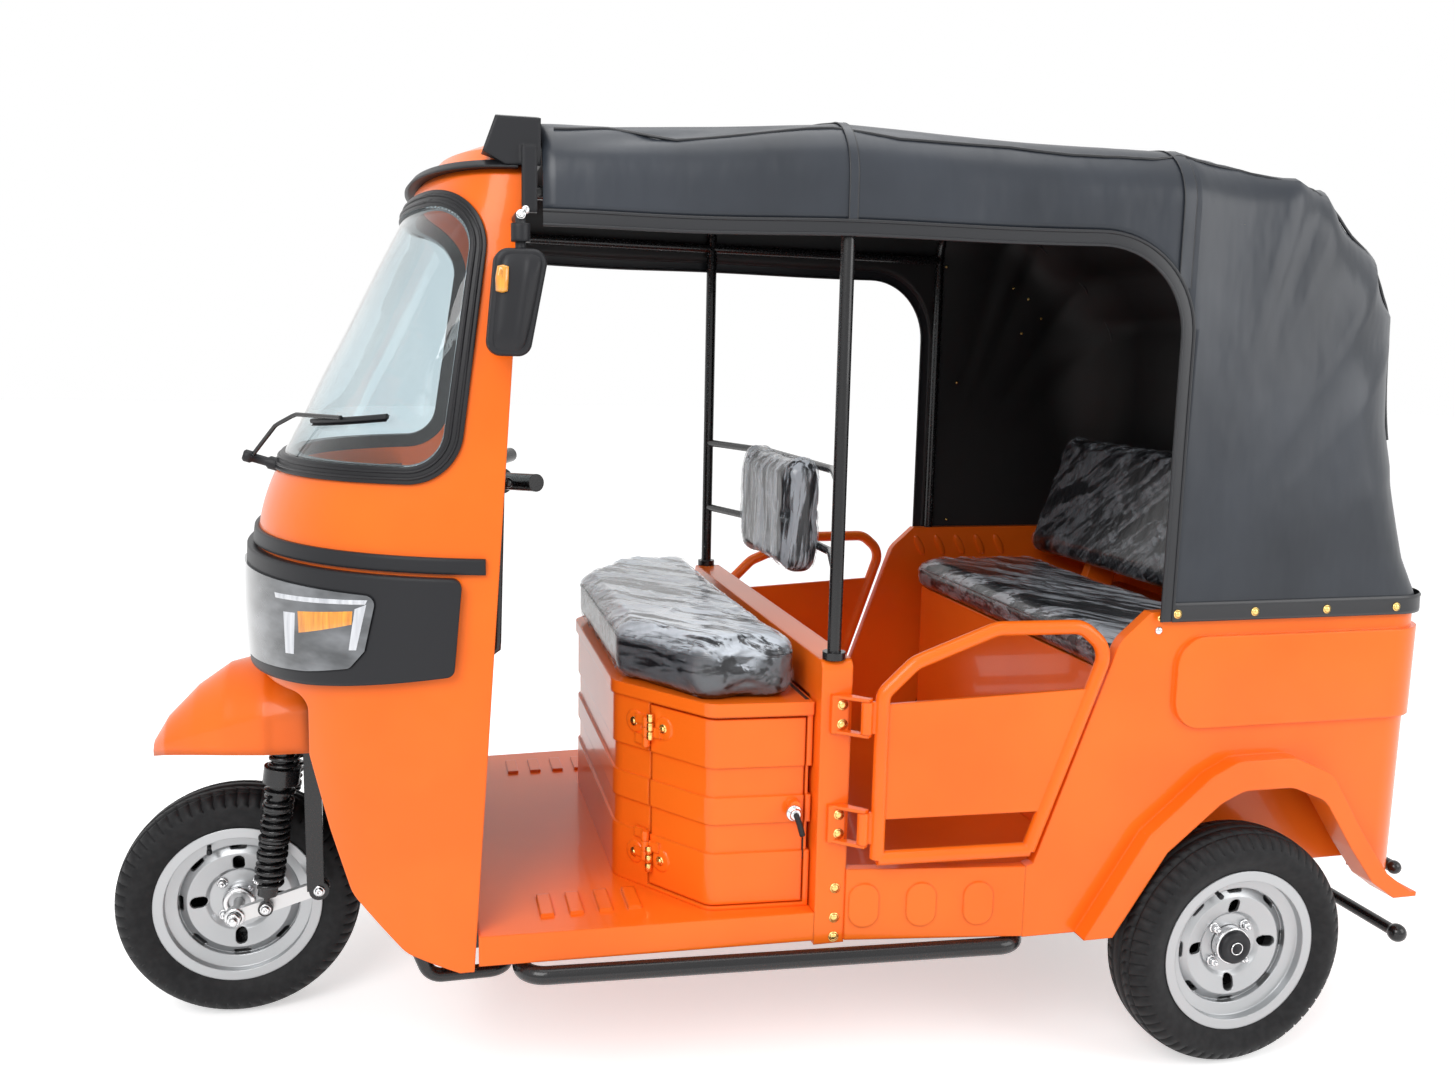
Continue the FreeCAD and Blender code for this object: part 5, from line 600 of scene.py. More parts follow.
def canopy_edges(roof, fan):
    """A welted band along each side's lower edge, down to the hem."""
    for side, name in ((0, "left"), (-1, "right")):
        post = fan[0][:HOOD_SIDE_SPAN + 1][::-1] if side == 0 else fan[0][-HOOD_SIDE_SPAN - 1:]
        edge = [row[side] for row in roof] + post[1:]
        out = Vector((0, BAND_PROUD if side == 0 else -BAND_PROUD, 0))
        flat = [Vector((spot.x, 0, spot.z)) for spot in edge]
        inner = []
        for index, spot in enumerate(edge):
            run = flat[min(index + 1, len(flat) - 1)] - flat[max(index - 1, 0)]
            normal = Vector((run.z, 0, -run.x)).normalized()
            inner.append(spot - normal * BAND_WIDTH + out)
        rim = [spot + out for spot in edge]
        piping("canopy_welt_" + name, [rim, inner], 0.0032, "black_vinyl")
        middle = [(a + b) / 2 + out * 0.3 for a, b in zip(rim, inner)]
        laid("canopy_band_" + name, [rim, middle, inner], "black_vinyl")


def canopy_hem(hem):
    """The band round the canopy's foot, by each ring's height and how proud it stands."""
    centre = Vector((-0.95, 0, 0))
    rings = []
    for height, lift in ((0.0, 0.001), (0.0, 0.0035), (0.006, 0.0042), (0.029, 0.003),
                         (0.034, 0.0045), (0.038, 0.001)):
        ring = []
        for spot in hem:
            way = (Vector((spot.x, spot.y, 0)) - centre).normalized()
            ring.append(Vector((spot.x, spot.y, HEM_FOOT + height)) + way * (lift + 0.001))
        rings.append(ring)
    laid("canopy_hem", rings, "black_vinyl")


def canopy_seams(roof):
    """A strap over the front and the rear bow, each between two seams."""
    seams = []
    for name, x, wide in (("front", HOOD_POSTS[1], 0.008), ("rear", -0.655, 0.012)):
        row = min(roof, key=lambda spots: abs(spots[40].x - x))
        middle = Vector((x, 0, 1.45))
        outward = [(spot - middle).normalized() for spot in row]
        proud = [spot + way * SEAM_PROUD for spot, way in zip(row, outward)]
        strips = [[Vector((x + shift, spot.y, spot.z)) for spot in proud]
                  for shift in (-wide, wide)]
        seams += strips
        laid("canopy_bow_band_" + name,
             [[(a * (1 - share) + b * share) + way * 0.001 for a, b, way in zip(*strips, outward)]
              for share in (0, 0.5, 1)], "canopy_vinyl")
    piping("canopy_bow_seams", seams, 0.0014, "black_vinyl")


def roof_piping(roof, fan):
    """A bead along each shoulder of the roof, where its slope passes a set angle."""
    runs = []
    for side in (1, -1):
        run = []
        for row in roof + fan[1:40]:
            half = row if side > 0 else row[::-1]
            x = half[len(half) // 2].x
            steepest = 55 if x > -0.05 or abs(x + 0.69) < 0.06 else 46
            for before, after in zip(half[4:], half[6:]):
                step = after - before
                if abs(step.y) / max(1e-6, step.length) > math.sin(math.radians(steepest)):
                    out = Vector((0, side, 1)).normalized()
                    run.append((before + after) / 2 + out * SEAM_PROUD)
                    break
        near = [run[max(0, index - 2):index + 3] for index in range(len(run))]
        runs.append([sum(spots, Vector()) / len(spots) for spots in near])
    piping("canopy_roof_piping", runs, 0.003, "black_vinyl")


def canopy_studs():
    """Brass studs round the hem, and small ones through the lining."""
    heads = []
    for spot, way in both_sides([(x, 0.6225, STUD_HEIGHT)
                                 for x in (-0.688, -0.861, -1.027, -1.193)]):
        heads.append(dome(spot, way, 0.0068, 0.0045))
        heads.append(lathe([(0.009, 0), (0.009, 0.001), (0.007, 0.0018)], spot, way, 18))
    for across in (-0.45, -0.15, 0.15, 0.45):
        heads.append(dome((-1.309, across, STUD_HEIGHT), (-1, 0, 0), 0.0068, 0.0045))
    heads += domes([(-0.659, 0.6095, 0.924)], 0.0065, 0.004)
    fitted("canopy_studs", heads, "brass")
    inner = [(x, 0.607, z) for x, z in (
        (-0.775, 1.672), (-0.715, 1.669), (-0.924, 1.617), (-0.973, 1.588), (-1.016, 1.534),
        (-0.957, 1.491), (-0.763, 1.348), (-0.751, 0.955))]
    fitted("lining_studs", [dome(spot, -way, 0.0042, 0.003)
                            for spot, way in both_sides(inner)], "brass")


# Cushions

CLOTH_FRAMES = 16
PAD_SLACK = 0.006
WELT_POINTS = 160

# A film's least height over its pad, and its creases per metre along and across their way
FILM_LIFT = 0.0015
CREASES_ALONG = 2.2
CREASES_ACROSS = 21


def inflated(node, shrink, voxel, cap, fill):
    """Swells a slightly smaller copy of a cushion's block with cloth pressure."""
    low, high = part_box(node)
    middle = (low + high) / 2
    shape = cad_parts[node].data.copy()
    half = (high - low) / 2
    factor = Vector([(span - shrink) / span for span in half])
    shape.transform(Matrix.Translation(middle) @ Matrix.Diagonal((*factor, 1))
                    @ Matrix.Translation(-middle))
    shape.materials.clear()
    piece = settle(node + "_pad", shape, "seat_vinyl")
    net = piece.modifiers.new("net", "REMESH")
    net.mode = "VOXEL"
    net.voxel_size = voxel
    bake(piece)
    swell(piece, cap)
    bake(piece)
    settle_within(piece, low, high)
    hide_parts(node)
    return piece


def bake(piece):
    """Apply every modifier of a piece to its mesh."""
    graph = bpy.context.evaluated_depsgraph_get()
    done = bpy.data.meshes.new_from_object(piece.evaluated_get(graph))
    materials = [slot.material for slot in piece.material_slots]
    piece.modifiers.clear()
    piece.data = done
    done.materials.clear()
    for material in materials:
        done.materials.append(material)
    done.shade_smooth()


def swell(piece, cap):
    """Blow a pad up with cloth pressure, each point by no more than the cap."""
    before = points_of(piece.data)
    cloth = piece.modifiers.new("cloth", "CLOTH")
    cloth.settings.use_pressure = True
    cloth.settings.uniform_pressure_force = 4
    cloth.settings.effector_weights.gravity = 0
    cloth.settings.quality = 4
    cloth.settings.tension_stiffness = 12
    cloth.settings.bending_stiffness = 0.6
    cloth.point_cache.frame_start = 1
    cloth.point_cache.frame_end = CLOTH_FRAMES
    scene = bpy.context.scene
    for step in range(1, CLOTH_FRAMES + 1):
        scene.frame_set(step)
    graph = bpy.context.evaluated_depsgraph_get()
    moved = points_of(piece.evaluated_get(graph).data) - before
    scene.frame_set(1)
    piece.modifiers.clear()
    length = np.linalg.norm(moved, axis=1, keepdims=True)
    moved *= np.minimum(1, cap / np.maximum(length, 1e-9))
    move_points(piece.data, before + moved)


def settle_within(piece, low, high):
    """Keep a swollen pad inside the space of its block, flat where it rests."""
    spots = points_of(piece.data)
    spots[:, 2] = np.maximum(spots[:, 2], low.z + 0.0005)
    spots = np.maximum(spots, np.array(low) - PAD_SLACK)
    spots = np.minimum(spots, np.array(high) + PAD_SLACK)
    move_points(piece.data, spots)


def wrapped(name, pad, way, seed, depth, film):
    """Clear film drawn over a pad as a bag that is open below, creased along one way."""
    shape = pad.data.copy()
    shape.materials.clear()
    piece = settle(name, shape, film)
    finer = piece.modifiers.new("finer", "SUBSURF")
    finer.subdivision_type = "SIMPLE"
    finer.levels = 1
    bake(piece)
    mesh = piece.data
    along = Vector(way).normalized()
    side = along.orthogonal().normalized()
    other = along.cross(side)
    spots = []
    for vertex in mesh.vertices:
        spot = vertex.co
        drift = noise.noise(spot * 7 + Vector((seed, 0, 0))) * 0.05
        probe = Vector((spot.dot(along) * CREASES_ALONG,
                        (spot.dot(side) + drift) * CREASES_ACROSS,
                        (spot.dot(other) - drift) * CREASES_ACROSS)) + Vector((seed, seed, 0))
        crease = 1 - abs(noise.noise(probe)) * 2
        fine = 1 - abs(noise.noise(probe * 2.3)) * 2
        height = FILM_LIFT + depth * (max(0, crease) ** 2 * 0.7 + max(0, fine) ** 2 * 0.3)
        spots.append(spot + vertex.normal * height)
    move_points(mesh, spots)
    bag = bmesh.new()
    bag.from_mesh(mesh)
    foot = min(vertex.co.z for vertex in bag.verts) + 0.02
    under = [face for face in bag.faces
             if face.normal.z < -0.5 and face.calc_center_median().z < foot]
    bmesh.ops.delete(bag, geom=under, context="FACES")
    bag.to_mesh(mesh)
    bag.free()


def pad_welt(name, pad, height):
    """A welt round a flat cushion, sewn where its top meets its sides."""
    tree = surface_of(pad)
    spots = points_of(pad.data)
    low = Vector(spots.min(axis=0))
    high = Vector(spots.max(axis=0))
    middle = (low + high) / 2
    run = []
    for step in range(WELT_POINTS):
        turn = 2 * math.pi * step / WELT_POINTS
        way = Vector((math.cos(turn) * (high.x - low.x), math.sin(turn) * (high.y - low.y), 0))
        way.normalize()
        origin = Vector((middle.x, middle.y, height)) + way * 1.5
        spot = tree.ray_cast(origin, -way)[0]
        if spot is not None:
            run.append(spot + way * 0.001)
    piping(name, [run], 0.0028, "seat_vinyl", cyclic=True)


def cushions():
    """Four pads, the welts of the flat ones, and a film over each."""
    pads = [inflated(*values) for values in (
        ("driver_seat", 0.006, 0.009, 0.016, 0.75), ("driver_backrest", 0.005, 0.007, 0.012, 0.75),
        ("bench_cushion", 0.006, 0.009, 0.014, 0.7), ("bench_backrest", 0.006, 0.009, 0.014, 0.7))]
    pad_welt("driver_seat_welt", pads[0], 0.85)
    pad_welt("bench_cushion_welt", pads[2], 0.838)
    for pad, (name, way, seed, depth, film, cut) in zip(pads, (
            ("driver_seat_film", (-0.75, 0.65, 0), 3.1, 0.006, "clear_film", (0.66, 0.80)),
            ("driver_backrest_film", (0.1, 0.1, 1), 5.7, 0.006, "film_upright", (0.42, 0.59)),
            ("bench_cushion_film", (-0.45, 0.9, 0), 8.2, 0.005, "film_bench", (1.15, 0.46)),
            ("bench_backrest_film", (0, -0.75, 0.65), 1.4, 0.005, "film_slanted", (1.2, 0.7)))):
        wrapped(name, pad, way, seed, depth, film)


# Wheels

TYRE_RADIUS = 0.247
AXLE_FRONT = 1.113
AXLE_REAR = -0.856
REAR_HALF = 0.617
TREAD_PITCHES = 62
NUT_CIRCLE = 0.05
NUT_FACE = 0.0145
VALVE_CIRCLE = 0.141

# Depths of the cross grooves, and where the tyre's section has them
SHOULDER_GROOVE = 0.0034
SHOULDER_INNER = 0.0395
SHOULDER_FOOT = 0.2205
CROWN_GROOVE = 0.0022
CROWN_LUG = (0.0165, 0.034)
CROWN_FOOT = 0.243

# Tyre section from the inner bead to the outer: distance across and radius.
TYRE_SECTION = [
    (0.045, 0.158), (0.050, 0.167), (0.057, 0.181), (0.0625, 0.192), (0.0645, 0.204),
    (0.0635, 0.213), (0.0615, 0.2185), (0.0605, 0.2215), (0.0565, 0.2275), (0.0525, 0.2325),
    (0.0465, 0.2375), (0.0415, 0.2402), (0.0385, 0.2415), (0.0375, 0.2365), (0.0345, 0.2365),
    (0.0335, 0.2432), (0.0245, 0.2451), (0.0150, 0.2462), (0.0140, 0.2405), (0.0110, 0.2405),
    (0.0100, 0.2467), (0.0, 0.247),
]

# Steps round one pitch, with how much of each is groove.
PITCH_STEPS = [(0.0, 1), (0.055, 1), (0.09, 0), (0.5, 0), (0.91, 0), (0.945, 1)]


def tyre_mesh(middle, lean):
    """A tyre with sidewall, shoulder lugs cut across, and two grooves round the tread."""
    section = [(-across, radius) for across, radius in TYRE_SECTION[:-1]]
    section += [(across, radius) for across, radius in reversed(TYRE_SECTION)]
    rows = []
    for pitch in range(TREAD_PITCHES):
        for start, groove in PITCH_STEPS:
            row = []
            for across, radius in section:
                turn = 2 * math.pi * (pitch + start) / TREAD_PITCHES
                wide = abs(across)
                slant = lean * wide * 2.2 * (1 if across > 0 else -1)
                shift = (0.5 if across > 0 else 0) * 2 * math.pi / TREAD_PITCHES
                deep = 0.0
                if groove and wide > SHOULDER_INNER and radius > SHOULDER_FOOT:
                    deep = SHOULDER_GROOVE
                elif groove and CROWN_LUG[0] < wide < CROWN_LUG[1] and radius > CROWN_FOOT:
                    deep = CROWN_GROOVE
                around = turn + shift * (wide > 0.016) + slant * 0.2
                reach = radius - deep
                row.append(Vector((middle.x + reach * math.cos(around), middle.y + across,
                                   middle.z + reach * math.sin(around))))
            rows.append(row)
    rows.append(rows[0])
    mesh = grid_mesh("tyre", rows)
    welded(mesh, 0.00002)
    return mesh


def wheel_fittings(name, body, middle, side, cap):
    """Four wheel nuts, the valve, and a rear wheel's black cap with its bright ring."""
    out = Vector((0, side, 0))
    nuts = []
    for step in range(4):
        turn = math.radians(45 + 90 * step)
        spot = middle + Vector((math.cos(turn) * NUT_CIRCLE, 0, math.sin(turn) * NUT_CIRCLE))
        spot += out * NUT_FACE
        nuts.append(bolt(spot, out, 0.0085, 0.013))
        nuts.append(lathe([(0.004, 0.01), (0.004, 0.018), (0.0025, 0.0195), (0, 0.0195)],
                          spot, out, 10))
    fitted(name + "_nuts", nuts, "chrome", body)
    turn = math.radians(66)
    foot = middle + Vector((math.cos(turn) * VALVE_CIRCLE, 0, math.sin(turn) * VALVE_CIRCLE))
    foot += out * 0.022
    lean = (out + Vector((-math.cos(turn), 0, -math.sin(turn))) * 0.35).normalized()
    valve = lathe([(0.008, -0.004), (0.008, 0.006), (0.0045, 0.011), (0.0045, 0.024),
                   (0.0055, 0.025), (0.0055, 0.034), (0.003, 0.036), (0, 0.036)],
                  foot, lean, 14)
    settle(name + "_valve", valve, "rubber_trim", body)
    if cap:
        spot = middle + out * 0.036
        disc = lathe([(0.0345, -0.018), (0.0345, 0.0), (0.033, 0.006), (0.028, 0.0085),
                      (0.018, 0.0095), (0.017, 0.0075), (0.009, 0.0075), (0.0085, 0.011),
                      (0.004, 0.012), (0, 0.012)], spot, out, 40)
        settle(name + "_cap", disc, "black_plastic", body)
        ring = lathe([(0.0135, 0.0078), (0.013, 0.0098), (0.0115, 0.0098), (0.011, 0.0078)],
                     spot, out, 32)
        lip = lathe([(0.038, -0.02), (0.0385, -0.006), (0.0365, -0.002), (0.0345, -0.003)],
                    spot, out, 40)
        fitted(name + "_ring", [ring, lip], "chrome", body)


def back_plate(name, body, middle, side):
    """A black plate behind a wheel's disc, which shows through its holes: it stands in for the hub
    behind, and its black is partly painted shade of the wheel's inside.
    """
    plate = lathe([(0.031, -0.040), (0.118, -0.038), (0.126, -0.034), (0.126, -0.029),
                   (0.118, -0.026), (0.090, -0.022), (0.031, -0.020)], middle, (0, side, 0), 48)
    settle(name + "_back_plate", plate, "black_paint", body)


def wheels():
    """The treaded tyres and the fittings of the wheels and the front axle."""
    for name, x, y, side in (("front", AXLE_FRONT, 0, 1), ("rear_left", AXLE_REAR, REAR_HALF, 1),
                             ("rear_right", AXLE_REAR, -REAR_HALF, -1)):
        middle = Vector((x, y, TYRE_RADIUS))
        body = name + "_wheel"
        rubber = settle(name + "_tread_tyre", tyre_mesh(middle, side), "tyre_rubber", body)
        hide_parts(name + "_tyre")
        wheel_fittings(name, body, middle, side, name != "front")
        back_plate(name, body, middle, side)
    ring = lathe([(0.034, 0.012), (0.0355, 0.02), (0.034, 0.04), (0.030, 0.046), (0.024, 0.047),
                  (0.022, 0.042)], (AXLE_FRONT, 0, TYRE_RADIUS), (0, 1, 0), 40)
    settle("front_hub_ring", ring, "chrome", "front_wheel")
    heads = []
    for spot, way in both_sides([(AXLE_FRONT, 0.1137, TYRE_RADIUS)]):
        heads.append(bolt(spot, way, 0.015, 0.017))
        heads.append(lathe([(0.0085, 0.01), (0.0085, 0.026), (0.0065, 0.0285), (0, 0.0285)],
                           spot, way, 16))
    heads += bolts([(1.051, 0.1275, 0.265), (0.945, 0.1285, 0.296)], 0.0085, 0.008)
    fitted("link_bolts", heads, "chrome", "steering")


# Nose

SIDES = ((1, "left"), (-1, "right"))
MIRROR_FACE = 0.5665
CORNER_STEPS = 10


def side_spot(tree, x, z, side, lift):
    """A point on a node's outer face, reached from the side."""
    spot, normal = tree.ray_cast(Vector((x, side * 1.5, z)), Vector((0, -side, 0)))[:2]
    return spot + normal * lift if spot else None


def nose_spot(tree, turn, z, lift):
    """A point on the cowl's round nose, reached from ahead at a turn from straight ahead."""
    way = Vector((math.cos(turn), math.sin(turn), 0))
    spot, normal = tree.ray_cast(Vector((0.62, 0, z)) + way * 1.2, -way)[:2]
    return spot + normal * lift if spot else None


def face_patch(name, node, corners, lift, material, steps):
    """A curved plate on each side of a node, inside four corners given in side view."""
    tree = surface_of(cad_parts[node])
    for side, label in SIDES:
        rows = []
        for step in range(steps[1] + 1):
            down = step / steps[1]
            row = []
            for cell in range(steps[0] + 1):
                along = cell / steps[0]
                x, z = between(corners, along, down)
                edge = min(along, 1 - along) * steps[0], min(down, 1 - down) * steps[1]
                proud = lift if min(edge) > 0.5 else lift * 0.1
                row.append(side_spot(tree, x, z, side, proud))
            rows.append(row)
        if any(spot is None for row in rows for spot in row):
            continue
        laid(name + "_" + label, rows[::side], material)


def lamps():
    """The light bars and the amber indicator behind each clear lens."""
    for name, corners, lift, material, steps in (
            ("lamp_top_bar", ((0.992, 0.966), (0.824, 0.974), (0.828, 0.966), (0.99, 0.957)),
             0.0012, "light_bar", (24, 3)),
            ("lamp_rear_bar", ((0.846, 0.957), (0.826, 0.966), (0.845, 0.884), (0.858, 0.883)),
             0.0012, "light_bar", (4, 14)),
            ("lamp_upright_bar", ((0.975, 0.935), (0.953, 0.937), (0.957, 0.861), (0.973, 0.859)),
             0.0012, "light_bar", (4, 14)),
            ("lamp_indicator", ((0.948, 0.941), (0.85, 0.953), (0.852, 0.929), (0.947, 0.902)),
             0.0008, "amber_lens", (18, 6))):
        face_patch(name, "headlamps", corners, lift, material, steps)


def gasket_ribs():
    """Two raised ribs that run all round the windscreen's rubber."""
    tree = surface_of(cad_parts["windscreen_gasket"])

    def across(reach, z, rear, bend):
        """The rib over the nose at one height, from the middle to its rounded corner."""
        spots = [nose_spot(tree, math.radians(reach * step / 24), z, 0.0005)
                 for step in range(24)]
        return [spot for spot in spots if spot and spot.x > rear + bend * 0.96]

    runs = []
    for inset in (0.009, 0.0205):
        low, high = 1.206 - inset, 1.664 + inset
        rear_low, rear_high = 0.698 - inset, 0.630 - inset
        bend = 0.07 + inset
        half = across(78, low, rear_low, bend)
        path = corner_run((1.1, low), (rear_low, low), (rear_high, high), bend)
        path += corner_run((rear_low, low), (rear_high, high), (1.1, high), bend)
        for x, z in path:
            spot = side_spot(tree, x, z, 1, 0.0005)
            if spot:
                half.append(spot)
        half += across(84, high, rear_high, bend)[::-1]
        runs.append(half + [flipped(spot) for spot in half[::-1]][1:-1])
    piping("gasket_ribs", runs, 0.0028, "rubber_trim", cyclic=True)


def corner_run(before, corner, after, bend):
    """Points round one rounded corner of a side-view outline."""
    corner = Vector(corner)
    first = (Vector(before) - corner).normalized()
    last = (Vector(after) - corner).normalized()
    half = first.angle(last) / 2
    centre = corner + (first + last).normalized() * (bend / math.sin(half))
    start = corner + first * (bend / math.tan(half)) - centre
    end = corner + last * (bend / math.tan(half)) - centre
    run = []
    for step in range(CORNER_STEPS + 1):
        share = step / CORNER_STEPS
        way = (start * (1 - share) + end * share).normalized()
        run.append(tuple(centre + way * bend))
    return run


def wiper():
    """Spindle, cranked arm and blade at the foot of the windscreen."""
    pane = surface_of(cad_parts["windscreen_glass"])
    blade = []
    for share in np.linspace(0, 1, 12):
        spot = side_spot(pane, 0.915 - 0.135 * share, 1.271 + 0.02 * share, 1, 0.009)
        if spot:
            blade.append(spot)
    piping("wiper_blade", [blade], 0.005, "black_plastic")
    laid("wiper_rubber", [[spot + Vector(shift) for spot in blade] for shift in (
        (-0.004, -0.006, 0.002), (-0.001, -0.001, -0.004), (0.002, 0.002, -0.009))], "rubber_trim")
    middle = blade[5] + Vector((0.006, 0.006, 0.004))
    pivot = Vector((1.048, 0.125, 1.196))
    arm = [pivot, pivot + Vector((-0.022, 0.02, 0.028)), Vector((0.995, 0.185, 1.262)),
           Vector((0.955, 0.232, 1.285)), middle]
    piping("wiper_arm", [resampled(arm, 24)], 0.0042, "black_paint")
    spindle = lathe([(0.013, -0.06), (0.013, -0.035), (0.009, -0.03), (0.009, -0.004),
                     (0.012, 0.0), (0.012, 0.012), (0.008, 0.016), (0, 0.016)],
                    pivot, (0.94, 0.1, 0.3), 20)
    settle("wiper_spindle", spindle, "black_plastic")


def mirror_back(label, side):
    """The domed back of one folded mirror with its crease, rounded off at the corners."""
    corners = [(0.556, 1.409), (0.615, 1.409), (0.598, 1.573), (0.522, 1.573)]
    rows = []
    for step in range(25):
        down = step / 24
        row = []
        for cell in range(19):
            along = cell / 18
            x, z = between(corners, along, down)
            ring = max(abs(along * 2 - 1), abs(down * 2 - 1))
            pull = (abs(along * 2 - 1) ** 4 * abs(down * 2 - 1) ** 4) * 0.16
            x += (0.573 - x) * pull
            z += (1.491 - z) * pull
            rise = 0.0105 * (1 - ring ** 5)
            ridge = 0.0028 * math.exp(-((along - 0.28 - 0.05 * down) / 0.045) ** 2)
            rise += ridge * (1 - ring ** 8)
            row.append(Vector((x, side * (MIRROR_FACE + rise), z)))
        rows.append(row)
    laid("mirror_back_" + label, rows[::-side], "black_plastic")


def mirror_details():
    """Each mirror's back and amber indicator, and the bolts of the arms."""
    for side, label in SIDES:
        mirror_back(label, side)
        lens = []
        for inset, rise in ((0.0, 0.0085), (0.0008, 0.014), (0.0035, 0.0165), (0.009, 0.0175)):
            lens.append([Vector((x, side * (MIRROR_FACE + rise), z)) for x, z in (
                (0.586 + inset, 1.508 + inset), (0.596, 1.5055 + inset),
                (0.606 - inset, 1.508 + inset), (0.6065 - inset, 1.53),
                (0.603 - inset, 1.549 - inset), (0.594, 1.5515 - inset),
                (0.584 + inset, 1.549 - inset), (0.5845 + inset, 1.53))])
        lens.append([Vector((0.5955, side * 0.5842, 1.529))] * 8)
        laid("mirror_indicator_" + label, lens, "amber_lens", closed=True)
    fitted("mirror_bolts", domes([(0.548, 0.4785, 1.652)], 0.0075, 0.005)
           + bolts([(0.562, 0.549, 1.636)], 0.006, 0.005), "chrome")


# Small fittings


def hinge_screws():
    """Brass screws on the leaves of the door hinges."""
    heads = []
    for low in (0.500, 0.716):
        for rise in (0.012, 0.05):
            heads += washer_screws([(-0.034, 0.5532, low + rise)], 0.0078)
    fitted("hinge_screws", heads, "brass")


def on_face(tree, spot):
    """The nearest point of a face to a spot, and the way that the face looks."""
    return tree.find_nearest(Vector(spot))[:2]


def locker_fittings():
    """Hinge leaves with their screws and knuckles, the lock's handle and its black slot."""
    box = surface_of(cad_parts["seat_box"])
    door = surface_of(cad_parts["seat_box_door"])
    for tree, body, spots in (
            (box, "chassis", ((0.323, 0.337, 0.690), (0.321, 0.340, 0.419))),
            (door, "box_door", ((0.277, 0.400, 0.690), (0.279, 0.397, 0.419)))):
        leaves = []
        screws = []
        for spot in spots:
            place, normal = on_face(tree, spot)
            leaves.append(lathe([(0.0235, 0.0), (0.0225, 0.002), (0.019, 0.0028), (0, 0.0028)],
                                place, normal, 28))
            screws.append(lathe([(0.0095, 0.0025), (0.0095, 0.0042), (0.0075, 0.005),
                                 (0, 0.005)], place, normal, 20))
            screws.append(dome(place + normal * 0.0045, normal, 0.0055, 0.0034))
        fitted(body + "_hinge_leaves", leaves, "orange_paint", body)
        fitted(body + "_hinge_screws", screws, "brass", body)
    knuckles = []
    for height in (0.690, 0.419):
        place, normal = on_face(box, (0.303, 0.380, height))
        for low in (-0.026, -0.008, 0.010):
            knuckles.append(lathe([(0, 0), (0.0062, 0), (0.007, 0.001), (0.007, 0.015),
                                   (0.0062, 0.016), (0, 0.016)],
                                  place + normal * 0.003 + Vector((0, 0, low)), (0, 0, 1), 16))
    fitted("locker_knuckles", knuckles, "brass")
    place, normal = on_face(door, (0.047, 0.526, 0.549))
    rose = lathe([(0.0165, 0), (0.0165, 0.003), (0.014, 0.0055), (0.0105, 0.006),
                  (0.0105, 0.012), (0.009, 0.0135), (0, 0.0135)], place, normal, 28)
    settle("lock_rose", rose, "chrome", "box_door")
    reach = place + normal * 0.016
    lever = [reach - normal * 0.004, reach, reach + Vector((-0.006, 0, -0.016)),
             reach + Vector((-0.013, 0, -0.040))]
    piping("lock_lever", [resampled(lever, 14)], 0.0058, "black_plastic", "box_door")
    slot = [on_face(box, (0.020, 0.498, height))[0] for height in (0.487, 0.446)]
    piping("locker_slot_side", [slot], 0.0062, "black_plastic")


def post_bolts():
    """Brass screws at the foot of each door post, and a bright one on each quarter."""
    fitted("post_screws", washer_screws([(-0.034, 0.5453, z) for z in (0.399, 0.339, 0.300)],
                                        0.0075), "brass")
    fitted("quarter_screws", domes([(-0.657, 0.6105, 0.9)], 0.008, 0.0045), "chrome")


def damper_springs():
    """Fine coils over the front dampers."""
    foot = Vector((1.0445, 0.121, 0.312))
    head = Vector((1.0035, 0.121, 0.600))
    way = (head - foot).normalized()
    side = way.orthogonal().normalized()
    other = way.cross(side)
    runs = []
    for start, end, turns in ((0.02, 0.67, 13), (0.79, 1.0, 4)):
        run = []
        for step in range(turns * 14 + 1):
            turn = 2 * math.pi * step / 14
            share = start + (end - start) * step / (turns * 14)
            run.append(foot + (head - foot) * share
                       + (side * math.cos(turn) + other * math.sin(turn)) * 0.0262)
        runs += [run, [flipped(spot) for spot in run]]
    piping("front_coils", runs, 0.0046, "black_paint", "steering")


def cowl_grab_bar():
    """A black upright grip behind the cowl's rear edge on each side."""
    runs = [resampled([Vector((x, side * y, z)) for x, y, z in (
        (0.612, 0.462, 1.195), (0.592, 0.470, 1.180), (0.600, 0.470, 0.880),
        (0.618, 0.462, 0.866))], 30) for side in (1, -1)]
    piping("cowl_grab_bars", runs, 0.007, "black_paint")


def quarter_pressings():
    """Five slanted louvre pressings inside each quarter, over the bench."""
    pressings = []
    for spot, way in both_sides([(-0.66 - 0.062 * step, 0.5835, 0.885) for step in range(5)]):
        side = -way.y
        rings = []
        for inset, rise in ((0.0, 0.0), (0.002, 0.003), (0.0065, 0.0042)):
            ring = []
            for step in range(20):
                turn = 2 * math.pi * step / 20
                up = (0.03 - inset) * math.sin(turn)
                along = (0.0125 - inset * 0.9) * math.cos(turn)
                ring.append(spot + Vector((along + up * 0.45, side * rise, up)))
            rings.append(ring)
        rings.append([spot + Vector((0, side * 0.0044, 0))] * 20)
        pressings.append(grid_mesh("pressing", rings, closed=True))
    fitted("quarter_pressings", pressings, "orange_paint")


def seat_slot():
    """A black strip laid on the locker's top behind the cushion: painted shade of the dark recess
    there.
    """
    rings = []
    for inset, height in ((0.0, 0.7642), (0.003, 0.7652), (0.006, 0.7646)):
        rings.append([Vector((x, y, height)) for x, y in (
            (0.014 + inset, 0.36 + inset), (0.022 - inset * 0.3, 0.36 + inset),
            (0.0225 - inset * 0.3, 0.5 - inset), (0.014 + inset, 0.5 - inset))])
    laid("locker_slot", rings, "black_plastic", closed=True)


